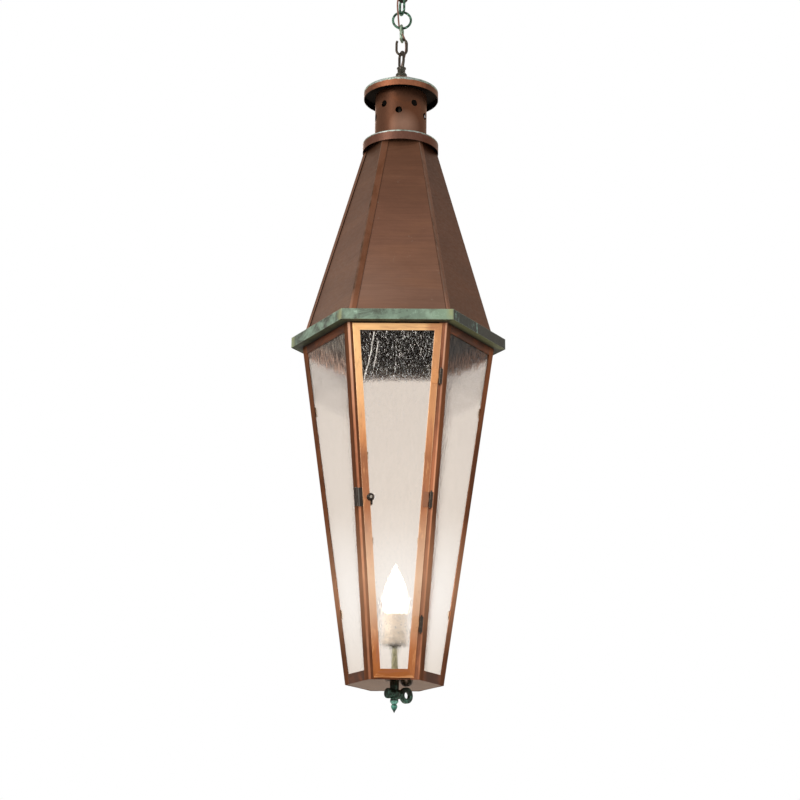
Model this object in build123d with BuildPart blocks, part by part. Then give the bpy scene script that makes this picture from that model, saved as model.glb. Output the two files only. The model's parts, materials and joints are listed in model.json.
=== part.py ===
from build123d import *
from math import atan, cos, degrees, pi, radians, sin, sqrt, tan
import os

# Hexagonal copper gas-style lantern, hung on a short chain from a ceiling canopy.
# Millimetres. The origin is the centre of the canopy's rim, on the ceiling; +Z is up,
# the door faces -Y, and every level is worked out downwards from the ceiling.

# ---- driving dimensions -----------------------------------------------------
sides = 6
side_angle = 360 / sides
half_angle = side_angle / 2

# sheet and running clearances
copper = 1.2                    # roof, neck, cap and eave sheet
post_sheet = 1.5                # corner posts and rails
solder_gap = 0.1                # between soldered neighbours
link_gap = 0.3                  # between the wires of two chain links
bore_play = 0.05                # radial play of pins, plugs and nipples in their holes

# canopy and its fittings
canopy_radius = 63.5
canopy_height = 26.0
canopy_sheet = 1.0
canopy_crown_radius = 18.0
canopy_bulge_reach = 0.82       # a point of the bowl, as shares of its radius and height
canopy_bulge_drop = 0.52
canopy_bulge_wall = 0.7         # share of the sheet, inwards and upwards
canopy_hole_play = 0.5
ring_nut_radius = 11.0
ring_nut_height = 5.0
ring_nut_chamfer = 1.2
strap_length = 100.0
strap_width = 16.0
strap_thickness = 2.5
strap_hole_spacing = 70.0
strap_hole_radius = 2.3

# chain: two closed oval links, one round ring and one opened oval link
link_length = 34.0
link_width = 22.0
link_wire = 4.2
ring_diameter = 35.4
open_link_mouth = 5.0
open_link_mouth_angle = 24.0    # where the mouth starts, from the link's crown
loop_wire = 4.6
loop_width = 22.0
loop_foot_spread = 5.6          # half distance between the loop's legs at its collar
loop_foot_depth = 1.0           # legs sunk into the collar they are cast with
loop_knee_share = 0.45          # height of the legs' bend, as a share of the straight
loop_knee_radius = 9.0
loop_collar_radius = 8.0
canopy_loop_height = 28.0
canopy_collar_height = 4.3
lantern_loop_height = 32.3
lantern_collar_height = 11.3
loop_skirt_height = 8.0
loop_skirt_radius = 9.8
loop_skirt_edge = 1.0
loop_skirt_slope = 2.0
loop_waist_radius = 6.8
loop_bead_height = 2.0
loop_bead_edge = 0.5
canopy_loop_yaw = 25.0          # direction of each link's plane, seen from above
upper_link_yaw = 115.0
chain_ring_yaw = 0.0
middle_link_yaw = 80.0
open_link_yaw = 0.0
lantern_loop_yaw = 115.0

# threaded pipe nipples and their nuts
nipple_radius = 5.15
nipple_bore_radius = 3.5
nipple_in_loop = 12.0           # thread screwed up into the lantern's loop
nipple_tail = 6.0               # nipple below its lowest nut
cord_bore_radius = 3.2
nut_across_flats = 14.0
nut_thickness = 4.0

# cap and neck
cap_radius = 64.0
cap_rim = 14.0
cap_cone = 28.0
cap_seat_radius = 11.0
cap_edge_round = 1.0
neck_radius = 44.3
neck_rise = 88.5                # neck tube above its flange
neck_in_cap = 5.3               # how far the tube stands up inside the cap's rim
neck_skirt = 13.0               # tube below the flange's top plate
vent_radius = 6.0
vent_lower_level = 46.0         # above the flange
vent_upper_level = 61.5
vents_per_row = 5
vent_turn = -4.0                # the tube sits slightly turned on the roof
flange_radius = 64.7
flange_rim = 16.8
flange_edge_round = 1.0
yoke_level = 26.0               # underside of the yoke above the flange
yoke_width = 14.0
yoke_thickness = 3.0
yoke_lug = 12.0

# roof and eave band
band_across_corners = 355.6
band_height = 17.5
eave_opening_radius = 146.0
roof_height = 348.0
roof_base_radius = 157.5
roof_top_radius = 57.8
seam_width = 12.0

# body frame
body_top_radius = 158.8
body_base_radius = 78.0
body_height = 558.7
post_leg = 13.0
top_rail = 13.0
bottom_rail = 15.5
header = 6.0
sill = 9.0
plate_thickness = 1.5
plate_margin = 0.3

# glass
pane_thickness = 3.0
pane_lap = 4.4                  # glass hidden behind the metal all round
clip_length = 12.0
clip_width = 5.0
clip_sheet = 0.8
clip_gap = 0.5
pane_clip_levels = (0.2, 0.8)    # down a face, as shares of its height
door_clip_levels = (0.12, 0.38, 0.62, 0.88)

# door
door_reveal = 7.8               # corner post left bare beside the door
door_top_gap = 1.5
door_bottom_gap = 2.7
door_stile = 11.2
door_top_rail = 11.3
door_bottom_rail = 13.7
door_sheet = 1.6
door_lift = 0.5                 # door face sheet in front of the posts
door_return = 6.5               # depth of the channel behind the posts' faces
door_return_sheet = 1.0
hinge_length = 24.0
hinge_radius = 3.0
hinge_pin_radius = 1.25
hinge_pin_head = 1.4
hinge_axis_out = 3.9            # beyond the door's edge
hinge_axis_lift = 4.0           # in front of the posts' faces
hinge_leaf = 0.6
hinge_leaf_width = 8.5
hinge_knuckle_gap = 0.3
hinge_high = 87.0               # below the eave, along the door's edge
hinge_middle = 283.5
hinge_low = 478.0

# latch
latch_level = 280.0             # below the eave
latch_in = 1.0                  # knob axis inside the door's sight edge
knob_radius = 5.5
knob_length = 9.0
knob_neck = 2.5
knob_neck_radius = 2.9
knob_slot = 1.3
knob_slot_depth = 1.2
knob_slot_turn = -15.0           # from level
knob_back_round = 1.0
knob_front_round = 2.6
spindle_radius = 1.6
escutcheon_radius = 6.2
escutcheon_thickness = 1.2
escutcheon_edge_round = 0.5
tongue_reach = 12.5
tongue_width = 6.0
tongue_thickness = 1.5
tongue_gap = 0.8                # behind the door's channel
glass_notch_width = 8.0
glass_notch_end = 2.0            # beyond the spindle
keeper_length = 29.5
keeper_radius = 3.2
keeper_leaf = 1.0
keeper_out = 2.7                # keeper's barrel axis outside the corner line
keeper_block_width = 4.5
keeper_block_height = 14.0

# gas-cock ornament under the base
cock_neck_radius = 7.2
cock_neck_length = 7.0
cock_bulb_radius = 8.6
cock_axis_drop = 13.6           # plug axis below the base
cock_body_drop = 22.6
cock_waist_radius = 6.0
cock_waist_height = 1.5
stem_thread = 5.5               # lamp stem screwed into the cock's body and the socket
cock_barrel_radius = 7.4
cock_barrel_half = 10.5
key_neck_radius = 5.2
key_neck_in_ring = 1.0
cock_yaw = 45.0                 # direction of the plug, seen from above
plug_radius = 4.0
cock_disc_radius = 8.2
cock_disc_thickness = 4.0
key_ring_radius = 12.8
key_hole_radius = 5.7
key_thickness = 5.2
key_reach = 26.0                # key ring's centre from the lantern's axis
finial_drop = 44.0
finial_stud_radius = 2.5
finial_stud = 4.5
finial_collar_radius = 6.6
finial_collar_height = 4.4
finial_slope = 0.5
finial_step_radius = 4.9
finial_step_height = 1.7
finial_neck_radius = 3.6
finial_neck_height = 1.2
finial_acorn_radius = 5.1
finial_acorn_shoulder = 2.4      # widest level, below the neck
finial_acorn_waist = 2.8         # radius just above the tip
finial_tip_height = 5.2

# lamp
stem_rise = 63.9                # socket's foot above the base plate's underside
socket_height = 50.0
socket_top_radius = 17.5
socket_base_radius = 20.0
socket_bore_radius = 13.9
socket_foot = 9.0
socket_foot_step = 1.0
socket_floor = 2.0               # between the stem's hole and the bulb's
bulb_base_radius = 13.2
bulb_base_length = 25.0
bulb_base_chamfer = 4.0
bulb_glass_length = 81.0
bulb_glass_radius = 17.2
bulb_glass_neck = 12.2
bulb_belly_level = 27.5          # above the socket
bulb_shoulder_level = 56.7
bulb_shoulder_radius = 10.7

# cord and lead
cord_diameter = 3.0
cord_radius = cord_diameter / 2
lead_sway = 0.7                 # the lead wanders from side to side of the nipple's bore
lead_straight = 12.0            # below the nipple, before the lead turns to its post
lead_turn_drop = 20.0
lead_turn_reach = 30.0          # from the lantern's axis
lead_roof_drop = 50.0           # below the roof's top, where the lead comes near the roof
lead_roof_reach = 4.0           # more than the roof's radius at its top
lead_eave_rise = 5.0            # above the band
lead_eave_in = 7.0              # inside the eave's opening
lead_in = 11.0                  # lead's centre from the corner line of its post
lead_post_start = 24.0          # below the band
lead_post_end = 34.0            # above the base
lead_foot_turn = 20.0
lead_foot_rise = 1.0
lead_hole_level = 12.0          # hole in the stem, above the base plate's underside
lead_clip_heel = 2.8
lead_clip_width = 3.0
lead_clip_wall = 0.9
lead_clip_play = 0.7
lead_clip_levels = (0.12, 0.5, 0.9)      # down the lead's run along its post

# ---- levels, from the ceiling down -------------------------------------------
z_canopy = -canopy_height
z_canopy_collar = z_canopy - ring_nut_height
z_canopy_loop = z_canopy_collar - canopy_collar_height
pivot_1 = z_canopy_loop - canopy_loop_height + loop_wire / 2


def next_pivot(pivot, upper_wire, wire, length):
    """Centre of a link's lower wire, for a link hung on a wire centred at pivot."""
    top = pivot + upper_wire / 2 + link_gap + wire
    return top - length + wire / 2


pivot_2 = next_pivot(pivot_1, loop_wire, link_wire, link_length)
pivot_3 = next_pivot(pivot_2, link_wire, link_wire, ring_diameter)
pivot_4 = next_pivot(pivot_3, link_wire, link_wire, link_length)
pivot_5 = next_pivot(pivot_4, link_wire, link_wire, link_length)
z_loop_top = pivot_5 + link_wire / 2 + link_gap + loop_wire
z_collar = z_loop_top - lantern_loop_height
z_skirt = z_collar - lantern_collar_height
z_cap_seat = z_skirt - loop_skirt_height
z_cap_rim = z_cap_seat - cap_cone
z_cap_edge = z_cap_rim - cap_rim
z_neck_top = z_cap_edge + neck_in_cap
z_flange = z_neck_top - neck_rise
z_flange_edge = z_flange - flange_rim
z_roof_top = z_flange - copper - solder_gap
z_band_top = z_roof_top - roof_height
z_band = z_band_top - band_height
z_base = z_band - body_height

# ---- hexagon geometry ---------------------------------------------------------
across = cos(radians(half_angle))           # apothem of a hexagon of circumradius 1
edge_half = sin(radians(half_angle))        # half an edge of a hexagon of circumradius 1
lean = atan((body_top_radius - body_base_radius) * across / body_height)
slant = body_height / cos(lean)
top_half = body_top_radius * edge_half
base_half = body_base_radius * edge_half
band_radius = band_across_corners / 2


def face_half(v):
    """Half width of a body face at a height v along the face, from 0 down to -slant."""
    return top_half + (top_half - base_half) * v / slant


def face_plane(index, lift=0.0):
    """Plane on the outside of body face 0 (the front) to 5; local Y runs up the face."""
    normal = Vector(0, -cos(lean), -sin(lean))
    origin = Vector(0, -body_top_radius * across, z_band) + normal * lift
    turn = index * side_angle
    return Plane(
        origin=origin.rotate(Axis.Z, turn),
        x_dir=Vector(1, 0, 0).rotate(Axis.Z, turn),
        z_dir=normal.rotate(Axis.Z, turn),
    )


def face_points(v_low, v_high, inset):
    """Corners of a panel on a body face, inset from the face's two corner lines."""
    low = face_half(v_low) - inset
    high = face_half(v_high) - inset
    return [(-high, v_high), (high, v_high), (low, v_low), (-low, v_low)]


def side_of_ring(outer, inner, index):
    """The mitred quadrilateral between two rings of four corners, on one side."""
    after = (index + 1) % 4
    return [outer[index], outer[after], inner[after], inner[index]]


def turned(points, angle):
    """Points of a horizontal section, turned about the lantern's axis."""
    vectors = [Vector(x, y, 0).rotate(Axis.Z, angle) for x, y in points]
    return [(vector.X, vector.Y) for vector in vectors]


def link_plane(z, yaw):
    """Vertical plane of a chain link: local X along the yaw, local Y up."""
    along = Vector(cos(radians(yaw)), sin(radians(yaw)), 0)
    return Plane(origin=(0, 0, z), x_dir=along, z_dir=along.cross(Vector(0, 0, 1)))


os.makedirs("parts", exist_ok=True)


def save(solid, name):
    """Label a finished piece and write it."""
    solid.label = name
    export_step(solid, f"parts/{name}.step")


# ---- canopy and strap ---------------------------------------------------------
with BuildPart() as ceiling_strap:
    with BuildSketch(Plane.XY.offset(-strap_thickness)):
        SlotOverall(strap_length, strap_width)
        Circle(nipple_radius + bore_play, mode=Mode.SUBTRACT)
        with Locations((-strap_hole_spacing / 2, 0), (strap_hole_spacing / 2, 0)):
            Circle(strap_hole_radius, mode=Mode.SUBTRACT)
    extrude(amount=strap_thickness)
save(ceiling_strap.part, "ceiling_strap")

bulge = (canopy_radius * canopy_bulge_reach, z_canopy * canopy_bulge_drop)
bulge_wall = canopy_sheet * canopy_bulge_wall
crown_hole = nipple_radius + canopy_hole_play

with BuildPart() as canopy:
    with BuildSketch(Plane.XZ) as canopy_section:
        with BuildLine():
            outside = Spline(
                (canopy_radius, 0),
                bulge,
                (canopy_crown_radius, z_canopy),
                tangents=((-0.1, -1), (-1, 0)),
            )
            crown = Line(outside @ 1, (crown_hole, z_canopy))
            rise = Line(crown @ 1, (crown_hole, z_canopy + canopy_sheet))
            inner_crown = Line(rise @ 1, (canopy_crown_radius, z_canopy + canopy_sheet))
            inside = Spline(
                inner_crown @ 1,
                (bulge[0] - bulge_wall, bulge[1] + bulge_wall),
                (canopy_radius - canopy_sheet, 0),
                tangents=((1, 0), (0.1, 1)),
            )
            Line(inside @ 1, outside @ 0)
        make_face()
    revolve(axis=Axis.Z)
save(canopy.part, "canopy")

nut_radius = nut_across_flats / 2 / across

with BuildPart() as canopy_nuts:
    with BuildSketch(Plane.XY.offset(-strap_thickness - nut_thickness)):
        RegularPolygon(nut_radius, sides)
        Circle(nipple_radius + bore_play, mode=Mode.SUBTRACT)
    extrude(amount=nut_thickness)
    with BuildSketch(Plane.XY.offset(z_canopy_collar)):
        Circle(ring_nut_radius)
        Circle(nipple_radius + bore_play, mode=Mode.SUBTRACT)
    extrude(amount=ring_nut_height)
    chamfer(canopy_nuts.faces().sort_by(Axis.Z)[0].outer_wire().edges(), ring_nut_chamfer)
save(canopy_nuts.part, "canopy_nuts")


def wire_loop(level, yaw, height, sign):
    """Bent wire loop that stands up (sign 1) or hangs down (sign -1) from a collar."""
    half = (loop_width - loop_wire) / 2
    bow = sign * (height - loop_wire / 2 - half)
    knee = bow * loop_knee_share
    foot = -sign * loop_foot_depth
    with BuildPart() as loop:
        with BuildLine(link_plane(level, yaw)) as path:
            left = FilletPolyline(
                (-loop_foot_spread, foot), (-half, knee), (-half, bow), radius=loop_knee_radius
            )
            over = ThreePointArc(left @ 1, (0, bow + sign * half), (half, bow))
            FilletPolyline(
                over @ 1, (half, knee), (loop_foot_spread, foot), radius=loop_knee_radius
            )
        with BuildSketch(Plane(origin=left @ 0, z_dir=left % 0)):
            Circle(loop_wire / 2)
        sweep()
    return loop.part


canopy_bow = wire_loop(z_canopy_loop, canopy_loop_yaw, canopy_loop_height, -1)

with BuildPart() as canopy_loop:
    with BuildSketch(Plane.XY.offset(z_canopy_loop)):
        Circle(loop_collar_radius)
    extrude(amount=canopy_collar_height)
    with BuildSketch(Plane.XY.offset(z_canopy_collar)):
        Circle(nipple_radius)
    extrude(amount=-z_canopy_collar - solder_gap)
    add(canopy_bow)
    with BuildSketch(Plane.XY):
        Circle(nipple_bore_radius)
    extrude(amount=z_canopy_loop - 2, mode=Mode.SUBTRACT)
save(canopy_loop.part, "canopy_loop")


# ---- chain --------------------------------------------------------------------
def wire_link(pivot, upper_wire, yaw, length, width, mouth=0.0):
    """Wire link hung on an upper wire; a mouth leaves it open near its upper left."""
    half = (width - link_wire) / 2
    top = pivot + upper_wire / 2 + link_gap + link_wire / 2
    bottom = top - length + link_wire
    high = top - half
    low = bottom + half
    mouth_start = radians(open_link_mouth_angle)
    mouth_end = mouth_start + mouth / half
    mouth_middle = (mouth_end + pi / 2) / 2

    def on_top_bow(angle):
        """Point of the upper bow, by the angle from its crown towards the left."""
        return (-half * sin(angle), high + half * cos(angle))

    with BuildPart() as link:
        with BuildLine(link_plane(0, yaw)):
            if mouth:
                over = ThreePointArc(on_top_bow(mouth_start), on_top_bow(-pi / 4), (half, high))
            else:
                over = ThreePointArc((-half, high), (0, top), (half, high))
            if high - low > link_gap:
                right = Line(over @ 1, (half, low))
                under = ThreePointArc(right @ 1, (0, bottom), (-half, low))
                left = Line(under @ 1, (-half, high))
                if mouth:
                    ThreePointArc(left @ 1, on_top_bow(mouth_middle), on_top_bow(mouth_end))
            else:
                ThreePointArc(over @ 1, (0, bottom), over @ 0)
        with BuildSketch(Plane(origin=over @ 0, z_dir=over % 0)):
            Circle(link_wire / 2)
        sweep()
    return link.part


with BuildPart() as upper_link:
    add(wire_link(pivot_1, loop_wire, upper_link_yaw, link_length, link_width))
save(upper_link.part, "upper_link")

with BuildPart() as chain_ring:
    add(wire_link(pivot_2, link_wire, chain_ring_yaw, ring_diameter, ring_diameter))
save(chain_ring.part, "chain_ring")

with BuildPart() as middle_link:
    add(wire_link(pivot_3, link_wire, middle_link_yaw, link_length, link_width))
save(middle_link.part, "middle_link")

with BuildPart() as open_link:
    add(wire_link(pivot_4, link_wire, open_link_yaw, link_length, link_width, open_link_mouth))
save(open_link.part, "open_link")


# ---- top loop, cap and neck -----------------------------------------------------
lantern_bow = wire_loop(z_collar, lantern_loop_yaw, lantern_loop_height, 1)

with BuildPart() as lantern_loop:
    with BuildSketch(Plane.XZ):
        with BuildLine():
            Polyline(
                (0, z_cap_seat),
                (loop_skirt_radius - loop_skirt_edge, z_cap_seat),
                (loop_skirt_radius, z_cap_seat + loop_skirt_edge),
                (loop_skirt_radius, z_skirt - loop_skirt_slope),
                (loop_waist_radius, z_skirt + loop_skirt_slope),
                (loop_waist_radius, z_collar - loop_bead_height - 2 * loop_bead_edge),
                (loop_collar_radius, z_collar - loop_bead_height),
                (loop_collar_radius, z_collar - loop_bead_edge),
                (loop_collar_radius - loop_bead_edge, z_collar),
                (0, z_collar),
                close=True,
            )
        make_face()
    revolve(axis=Axis.Z)
    add(lantern_bow)
    with BuildSketch(Plane.XY.offset(z_cap_seat)):
        Circle(nipple_radius + bore_play)
    extrude(amount=nipple_in_loop, mode=Mode.SUBTRACT)
    with BuildSketch(Plane.XY.offset(z_cap_seat)):
        Circle(cord_bore_radius)
    extrude(amount=z_collar - z_cap_seat + 2, mode=Mode.SUBTRACT)
save(lantern_loop.part, "lantern_loop")

with BuildPart() as cap:
    with BuildSketch(Plane.XZ):
        with BuildLine():
            Polyline(
                (cap_radius, z_cap_edge),
                (cap_radius, z_cap_rim),
                (cap_seat_radius, z_cap_seat),
                (nipple_radius + bore_play, z_cap_seat),
                (nipple_radius + bore_play, z_cap_seat - copper),
                (cap_seat_radius - copper / 2, z_cap_seat - copper),
                (cap_radius - copper, z_cap_rim - copper),
                (cap_radius - copper, z_cap_edge),
                close=True,
            )
        make_face()
    revolve(axis=Axis.Z)
    fillet(cap.edges().filter_by(GeomType.CIRCLE).group_by(SortBy.RADIUS)[-1]
           .sort_by(Axis.Z)[-1:], cap_edge_round)
save(cap.part, "cap")

z_yoke = z_flange + yoke_level
z_nipple_bottom = z_yoke - nut_thickness - nipple_tail

with BuildPart() as top_nipple:
    with BuildSketch(Plane.XY.offset(z_nipple_bottom)):
        Circle(nipple_radius)
        Circle(nipple_bore_radius, mode=Mode.SUBTRACT)
    extrude(amount=z_cap_seat + nipple_in_loop - solder_gap - z_nipple_bottom)
save(top_nipple.part, "top_nipple")

with BuildPart() as neck_yoke:
    with BuildSketch(Plane.XY.offset(z_yoke)):
        Circle(neck_radius - copper - solder_gap)
        Rectangle(2 * neck_radius, yoke_width, mode=Mode.INTERSECT)
        Circle(nipple_radius + bore_play, mode=Mode.SUBTRACT)
    extrude(amount=yoke_thickness)
    with BuildSketch(Plane.XY.offset(z_yoke)):
        Circle(neck_radius - copper - solder_gap)
        Circle(neck_radius - copper - solder_gap - yoke_thickness, mode=Mode.SUBTRACT)
        Rectangle(2 * neck_radius, yoke_width, mode=Mode.INTERSECT)
    extrude(amount=-yoke_lug)
save(neck_yoke.part, "neck_yoke")

with BuildPart() as neck_tube:
    with BuildSketch(Plane.XY.offset(z_flange - neck_skirt)):
        Circle(neck_radius)
        Circle(neck_radius - copper, mode=Mode.SUBTRACT)
    extrude(amount=neck_skirt + neck_rise)
    for level, first in (
        (vent_lower_level, vent_turn),
        (vent_upper_level, vent_turn + 180 / vents_per_row),
    ):
        for index in range(vents_per_row):
            outward = Vector(0, -1, 0).rotate(Axis.Z, first + index * 360 / vents_per_row)
            with BuildSketch(Plane(origin=(0, 0, z_flange + level), z_dir=outward)):
                Circle(vent_radius)
            extrude(amount=neck_radius + copper, mode=Mode.SUBTRACT)
save(neck_tube.part, "neck_tube")

with BuildPart() as neck_flange:
    with BuildSketch(Plane.XZ):
        with BuildLine():
            Polyline(
                (flange_radius, z_flange_edge),
                (flange_radius, z_flange),
                (neck_radius + solder_gap, z_flange),
                (neck_radius + solder_gap, z_flange - copper),
                (flange_radius - copper, z_flange - copper),
                (flange_radius - copper, z_flange_edge),
                close=True,
            )
        make_face()
    revolve(axis=Axis.Z)
    fillet(neck_flange.edges().filter_by(GeomType.CIRCLE).group_by(SortBy.RADIUS)[-1]
           .sort_by(Axis.Z)[-1:], flange_edge_round)
save(neck_flange.part, "neck_flange")


# ---- roof: six panels, each lapped over its right-hand neighbour ------------------
def panel_section(radius):
    """Horizontal section of the front roof panel at a level of this circumradius."""
    edge = radius * edge_half
    front = -radius * across
    along = Vector(cos(radians(side_angle)), sin(radians(side_angle)), 0)
    outward = Vector(cos(radians(half_angle)), -sin(radians(half_angle)), 0)
    corner = Vector(edge, front, 0)
    lap_in = corner + outward * solder_gap
    bend_out = edge + (solder_gap + copper) / across
    bend_in = lap_in + along * (front + copper - lap_in.Y) * (1 / across)
    lap_end_in = lap_in + along * seam_width
    lap_end_out = lap_end_in + outward * copper
    butt_out = -edge + (copper + solder_gap) / across
    butt_in = -edge + (copper * edge_half + solder_gap) / across
    return [
        (butt_out, front),
        (bend_out, front),
        (lap_end_out.X, lap_end_out.Y),
        (lap_end_in.X, lap_end_in.Y),
        (bend_in.X, bend_in.Y),
        (butt_in, front + copper),
    ]


for index in range(sides):
    with BuildPart() as roof_panel:
        for level, radius in ((z_band_top, roof_base_radius), (z_roof_top, roof_top_radius)):
            with BuildSketch(Plane.XY.offset(level)):
                Polygon(*turned(panel_section(radius), index * side_angle), align=None)
        loft(ruled=True)
    save(roof_panel.part, f"roof_panel_{index + 1}")

# ---- eave band: fascia with its soffit, and the ledge that the roof stands on -------
wall = copper / across

with BuildPart() as eave_fascia:
    with BuildSketch(Plane.XY.offset(z_band)):
        RegularPolygon(band_radius, sides)
        RegularPolygon(band_radius - wall, sides, mode=Mode.SUBTRACT)
    extrude(amount=band_height)
    with BuildSketch(Plane.XY.offset(z_band)):
        RegularPolygon(band_radius, sides)
        RegularPolygon(eave_opening_radius, sides, mode=Mode.SUBTRACT)
    extrude(amount=copper)
save(eave_fascia.part, "eave_fascia")

with BuildPart() as eave_ledge:
    with BuildSketch(Plane.XY.offset(z_band_top - copper)):
        RegularPolygon(band_radius - wall - solder_gap, sides)
        RegularPolygon(eave_opening_radius, sides, mode=Mode.SUBTRACT)
    extrude(amount=copper)
    with BuildSketch(Plane.XY.offset(z_band + copper)):
        RegularPolygon(eave_opening_radius + wall, sides)
        RegularPolygon(eave_opening_radius, sides, mode=Mode.SUBTRACT)
    extrude(amount=band_height - copper)
save(eave_ledge.part, "eave_ledge")


# ---- body frame -------------------------------------------------------------------
def post_section(radius):
    """Horizontal section of the angle-shaped corner post on the +X corner."""
    along = Vector(-cos(radians(side_angle)), sin(radians(side_angle)), 0)
    inward = Vector(-cos(radians(half_angle)), -sin(radians(half_angle)), 0)
    corner = Vector(radius, 0, 0)
    outer = corner + along * post_leg
    inner = outer + inward * post_sheet
    heel = radius - post_sheet / across
    return [
        (radius, 0),
        (outer.X, outer.Y),
        (inner.X, inner.Y),
        (heel, 0),
        (inner.X, -inner.Y),
        (outer.X, -outer.Y),
    ]


for index in range(sides):
    with BuildPart() as corner_post:
        for level, radius in ((z_band, body_top_radius), (z_base, body_base_radius)):
            with BuildSketch(Plane.XY.offset(level)):
                Polygon(*turned(post_section(radius), index * side_angle), align=None)
        loft(ruled=True)
    save(corner_post.part, f"corner_post_{index + 1}")

v_base = -slant
butt = post_leg + solder_gap
rail_top = -solder_gap - post_sheet * tan(lean)

with BuildPart() as top_rails:
    for index in range(sides):
        depth = top_rail if index else header
        with BuildSketch(face_plane(index)):
            Polygon(*face_points(-depth, rail_top, butt), align=None)
        extrude(amount=-post_sheet)
save(top_rails.part, "top_rails")

with BuildPart() as bottom_rails:
    for index in range(sides):
        height = bottom_rail if index else sill
        with BuildSketch(face_plane(index)):
            Polygon(*face_points(v_base + solder_gap, v_base + height, butt), align=None)
        extrude(amount=-post_sheet)
save(bottom_rails.part, "bottom_rails")

with BuildPart() as bottom_plate:
    with BuildSketch(Plane.XY.offset(z_base + plate_margin)):
        RegularPolygon(body_base_radius - (post_sheet + plate_margin) / across, sides)
        Circle(nipple_radius + bore_play, mode=Mode.SUBTRACT)
    extrude(amount=plate_thickness)
save(bottom_plate.part, "bottom_plate")

# ---- five fixed panes and the clips behind them --------------------------------------
pane_front = -post_sheet - solder_gap
pane_back = pane_front - pane_thickness
pane_top = -top_rail + pane_lap
pane_bottom = v_base + bottom_rail - pane_lap
pane_inset = post_leg - pane_lap

for index in range(1, sides):
    with BuildPart() as side_pane:
        with BuildSketch(face_plane(index, pane_front)):
            Polygon(*face_points(pane_bottom, pane_top, pane_inset), align=None)
        extrude(amount=-pane_thickness)
    save(side_pane.part, f"side_pane_{index}")

with BuildPart() as pane_clips:
    for index in range(1, sides):
        for level in pane_clip_levels:
            v = v_base * level
            for hand in (-1, 1):
                inner = face_half(v) - pane_inset
                foot = hand * (inner + clip_gap + clip_sheet + clip_width / 2)
                riser = hand * (inner + clip_gap + clip_sheet / 2)
                finger = hand * (inner + clip_gap + clip_sheet - clip_width / 2)
                back = pane_back - solder_gap
                with BuildSketch(face_plane(index, -post_sheet)):
                    with Locations((foot - hand * clip_sheet, v)):
                        Rectangle(clip_width, clip_length)
                extrude(amount=-clip_sheet)
                with BuildSketch(face_plane(index, -post_sheet)):
                    with Locations((riser, v)):
                        Rectangle(clip_sheet, clip_length)
                extrude(amount=back - clip_sheet + post_sheet)
                with BuildSketch(face_plane(index, back)):
                    with Locations((finger, v)):
                        Rectangle(clip_width, clip_length)
                extrude(amount=-clip_sheet)
save(pane_clips.part, "pane_clips")

# ---- door ----------------------------------------------------------------------------
door_top = -door_top_gap
door_bottom = v_base + door_bottom_gap
sight_top = door_top - door_top_rail
sight_bottom = door_bottom + door_bottom_rail
sight_inset = door_reveal + door_stile
door_outline = face_points(door_bottom, door_top, door_reveal)
sight_outline = face_points(sight_bottom, sight_top, sight_inset)
channel_in = pane_lap + solder_gap


def sight_plus(amount):
    """The sight opening's outline, grown by an amount on every side."""
    return face_points(sight_bottom - amount, sight_top + amount, sight_inset - amount)


def door_member(index):
    """One mitred side of the door: its face strip and the channel flange behind it."""
    strip = side_of_ring(door_outline, sight_outline, index)
    flange = side_of_ring(
        sight_plus(channel_in + door_return_sheet), sight_plus(channel_in), index
    )
    with BuildPart() as member:
        with BuildSketch(face_plane(0, door_lift)):
            Polygon(*strip, align=None)
        extrude(amount=door_sheet)
        with BuildSketch(face_plane(0, -door_return)):
            Polygon(*flange, align=None)
        extrude(amount=door_return + door_lift)
    return member.part


hinge_edge = Vector(*door_outline[1]) - Vector(*door_outline[2])
door_face_plane = face_plane(0)
hinge_up = (
    door_face_plane.x_dir * hinge_edge.X + door_face_plane.y_dir * hinge_edge.Y
).normalized()
hinge_out = hinge_up.cross(door_face_plane.z_dir)


def edge_point(v):
    """Point of the hinge axis beside the door's right edge, at a height v."""
    half = face_half(v) - door_reveal
    flat = door_face_plane.from_local_coords(Vector(half, v, hinge_axis_lift))
    return flat + hinge_out * hinge_axis_out


def hinge_plane(v, along=0.0):
    """Plane across the hinge axis: X away from the door, -Y out of the face."""
    return Plane(origin=edge_point(v) + hinge_up * along, x_dir=hinge_out, z_dir=hinge_up)


latch_v = -latch_level
latch_u = -(face_half(latch_v) - sight_inset - latch_in)

with BuildPart() as door_stiles:
    add(door_member(1))
    add(door_member(3))
    with BuildSketch(face_plane(0, door_lift)):
        with Locations((latch_u, latch_v)):
            Circle(spindle_radius + bore_play)
    extrude(amount=door_sheet, mode=Mode.SUBTRACT)
save(door_stiles.part, "door_stiles")

with BuildPart() as door_rails:
    add(door_member(0))
    add(door_member(2))
save(door_rails.part, "door_rails")

door_pane_front = door_lift - solder_gap
door_pane_back = door_pane_front - pane_thickness
notch_reach = spindle_radius + glass_notch_end
notch_depth = pane_lap + latch_in + notch_reach

with BuildPart() as door_pane:
    with BuildSketch(face_plane(0, door_pane_front)):
        Polygon(*sight_plus(pane_lap), align=None)
        with Locations((latch_u - notch_depth / 2 + notch_reach, latch_v)):
            SlotOverall(notch_depth + glass_notch_width, glass_notch_width, mode=Mode.SUBTRACT)
    extrude(amount=-pane_thickness)
save(door_pane.part, "door_pane")

with BuildPart() as door_clips:
    for level in door_clip_levels:
        v = v_base * level
        for hand in (-1, 1):
            wall_at = face_half(v) - sight_inset + channel_in - clip_gap
            with BuildSketch(face_plane(0, door_pane_back - solder_gap)):
                with Locations((hand * (wall_at - clip_width / 2), v)):
                    Rectangle(clip_width, clip_length)
            extrude(amount=-clip_sheet)
save(door_clips.part, "door_clips")

# ---- hinges: three knuckles each, the middle one on the door -------------------------
knuckle = (hinge_length - 2 * hinge_knuckle_gap) / 3

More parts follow.
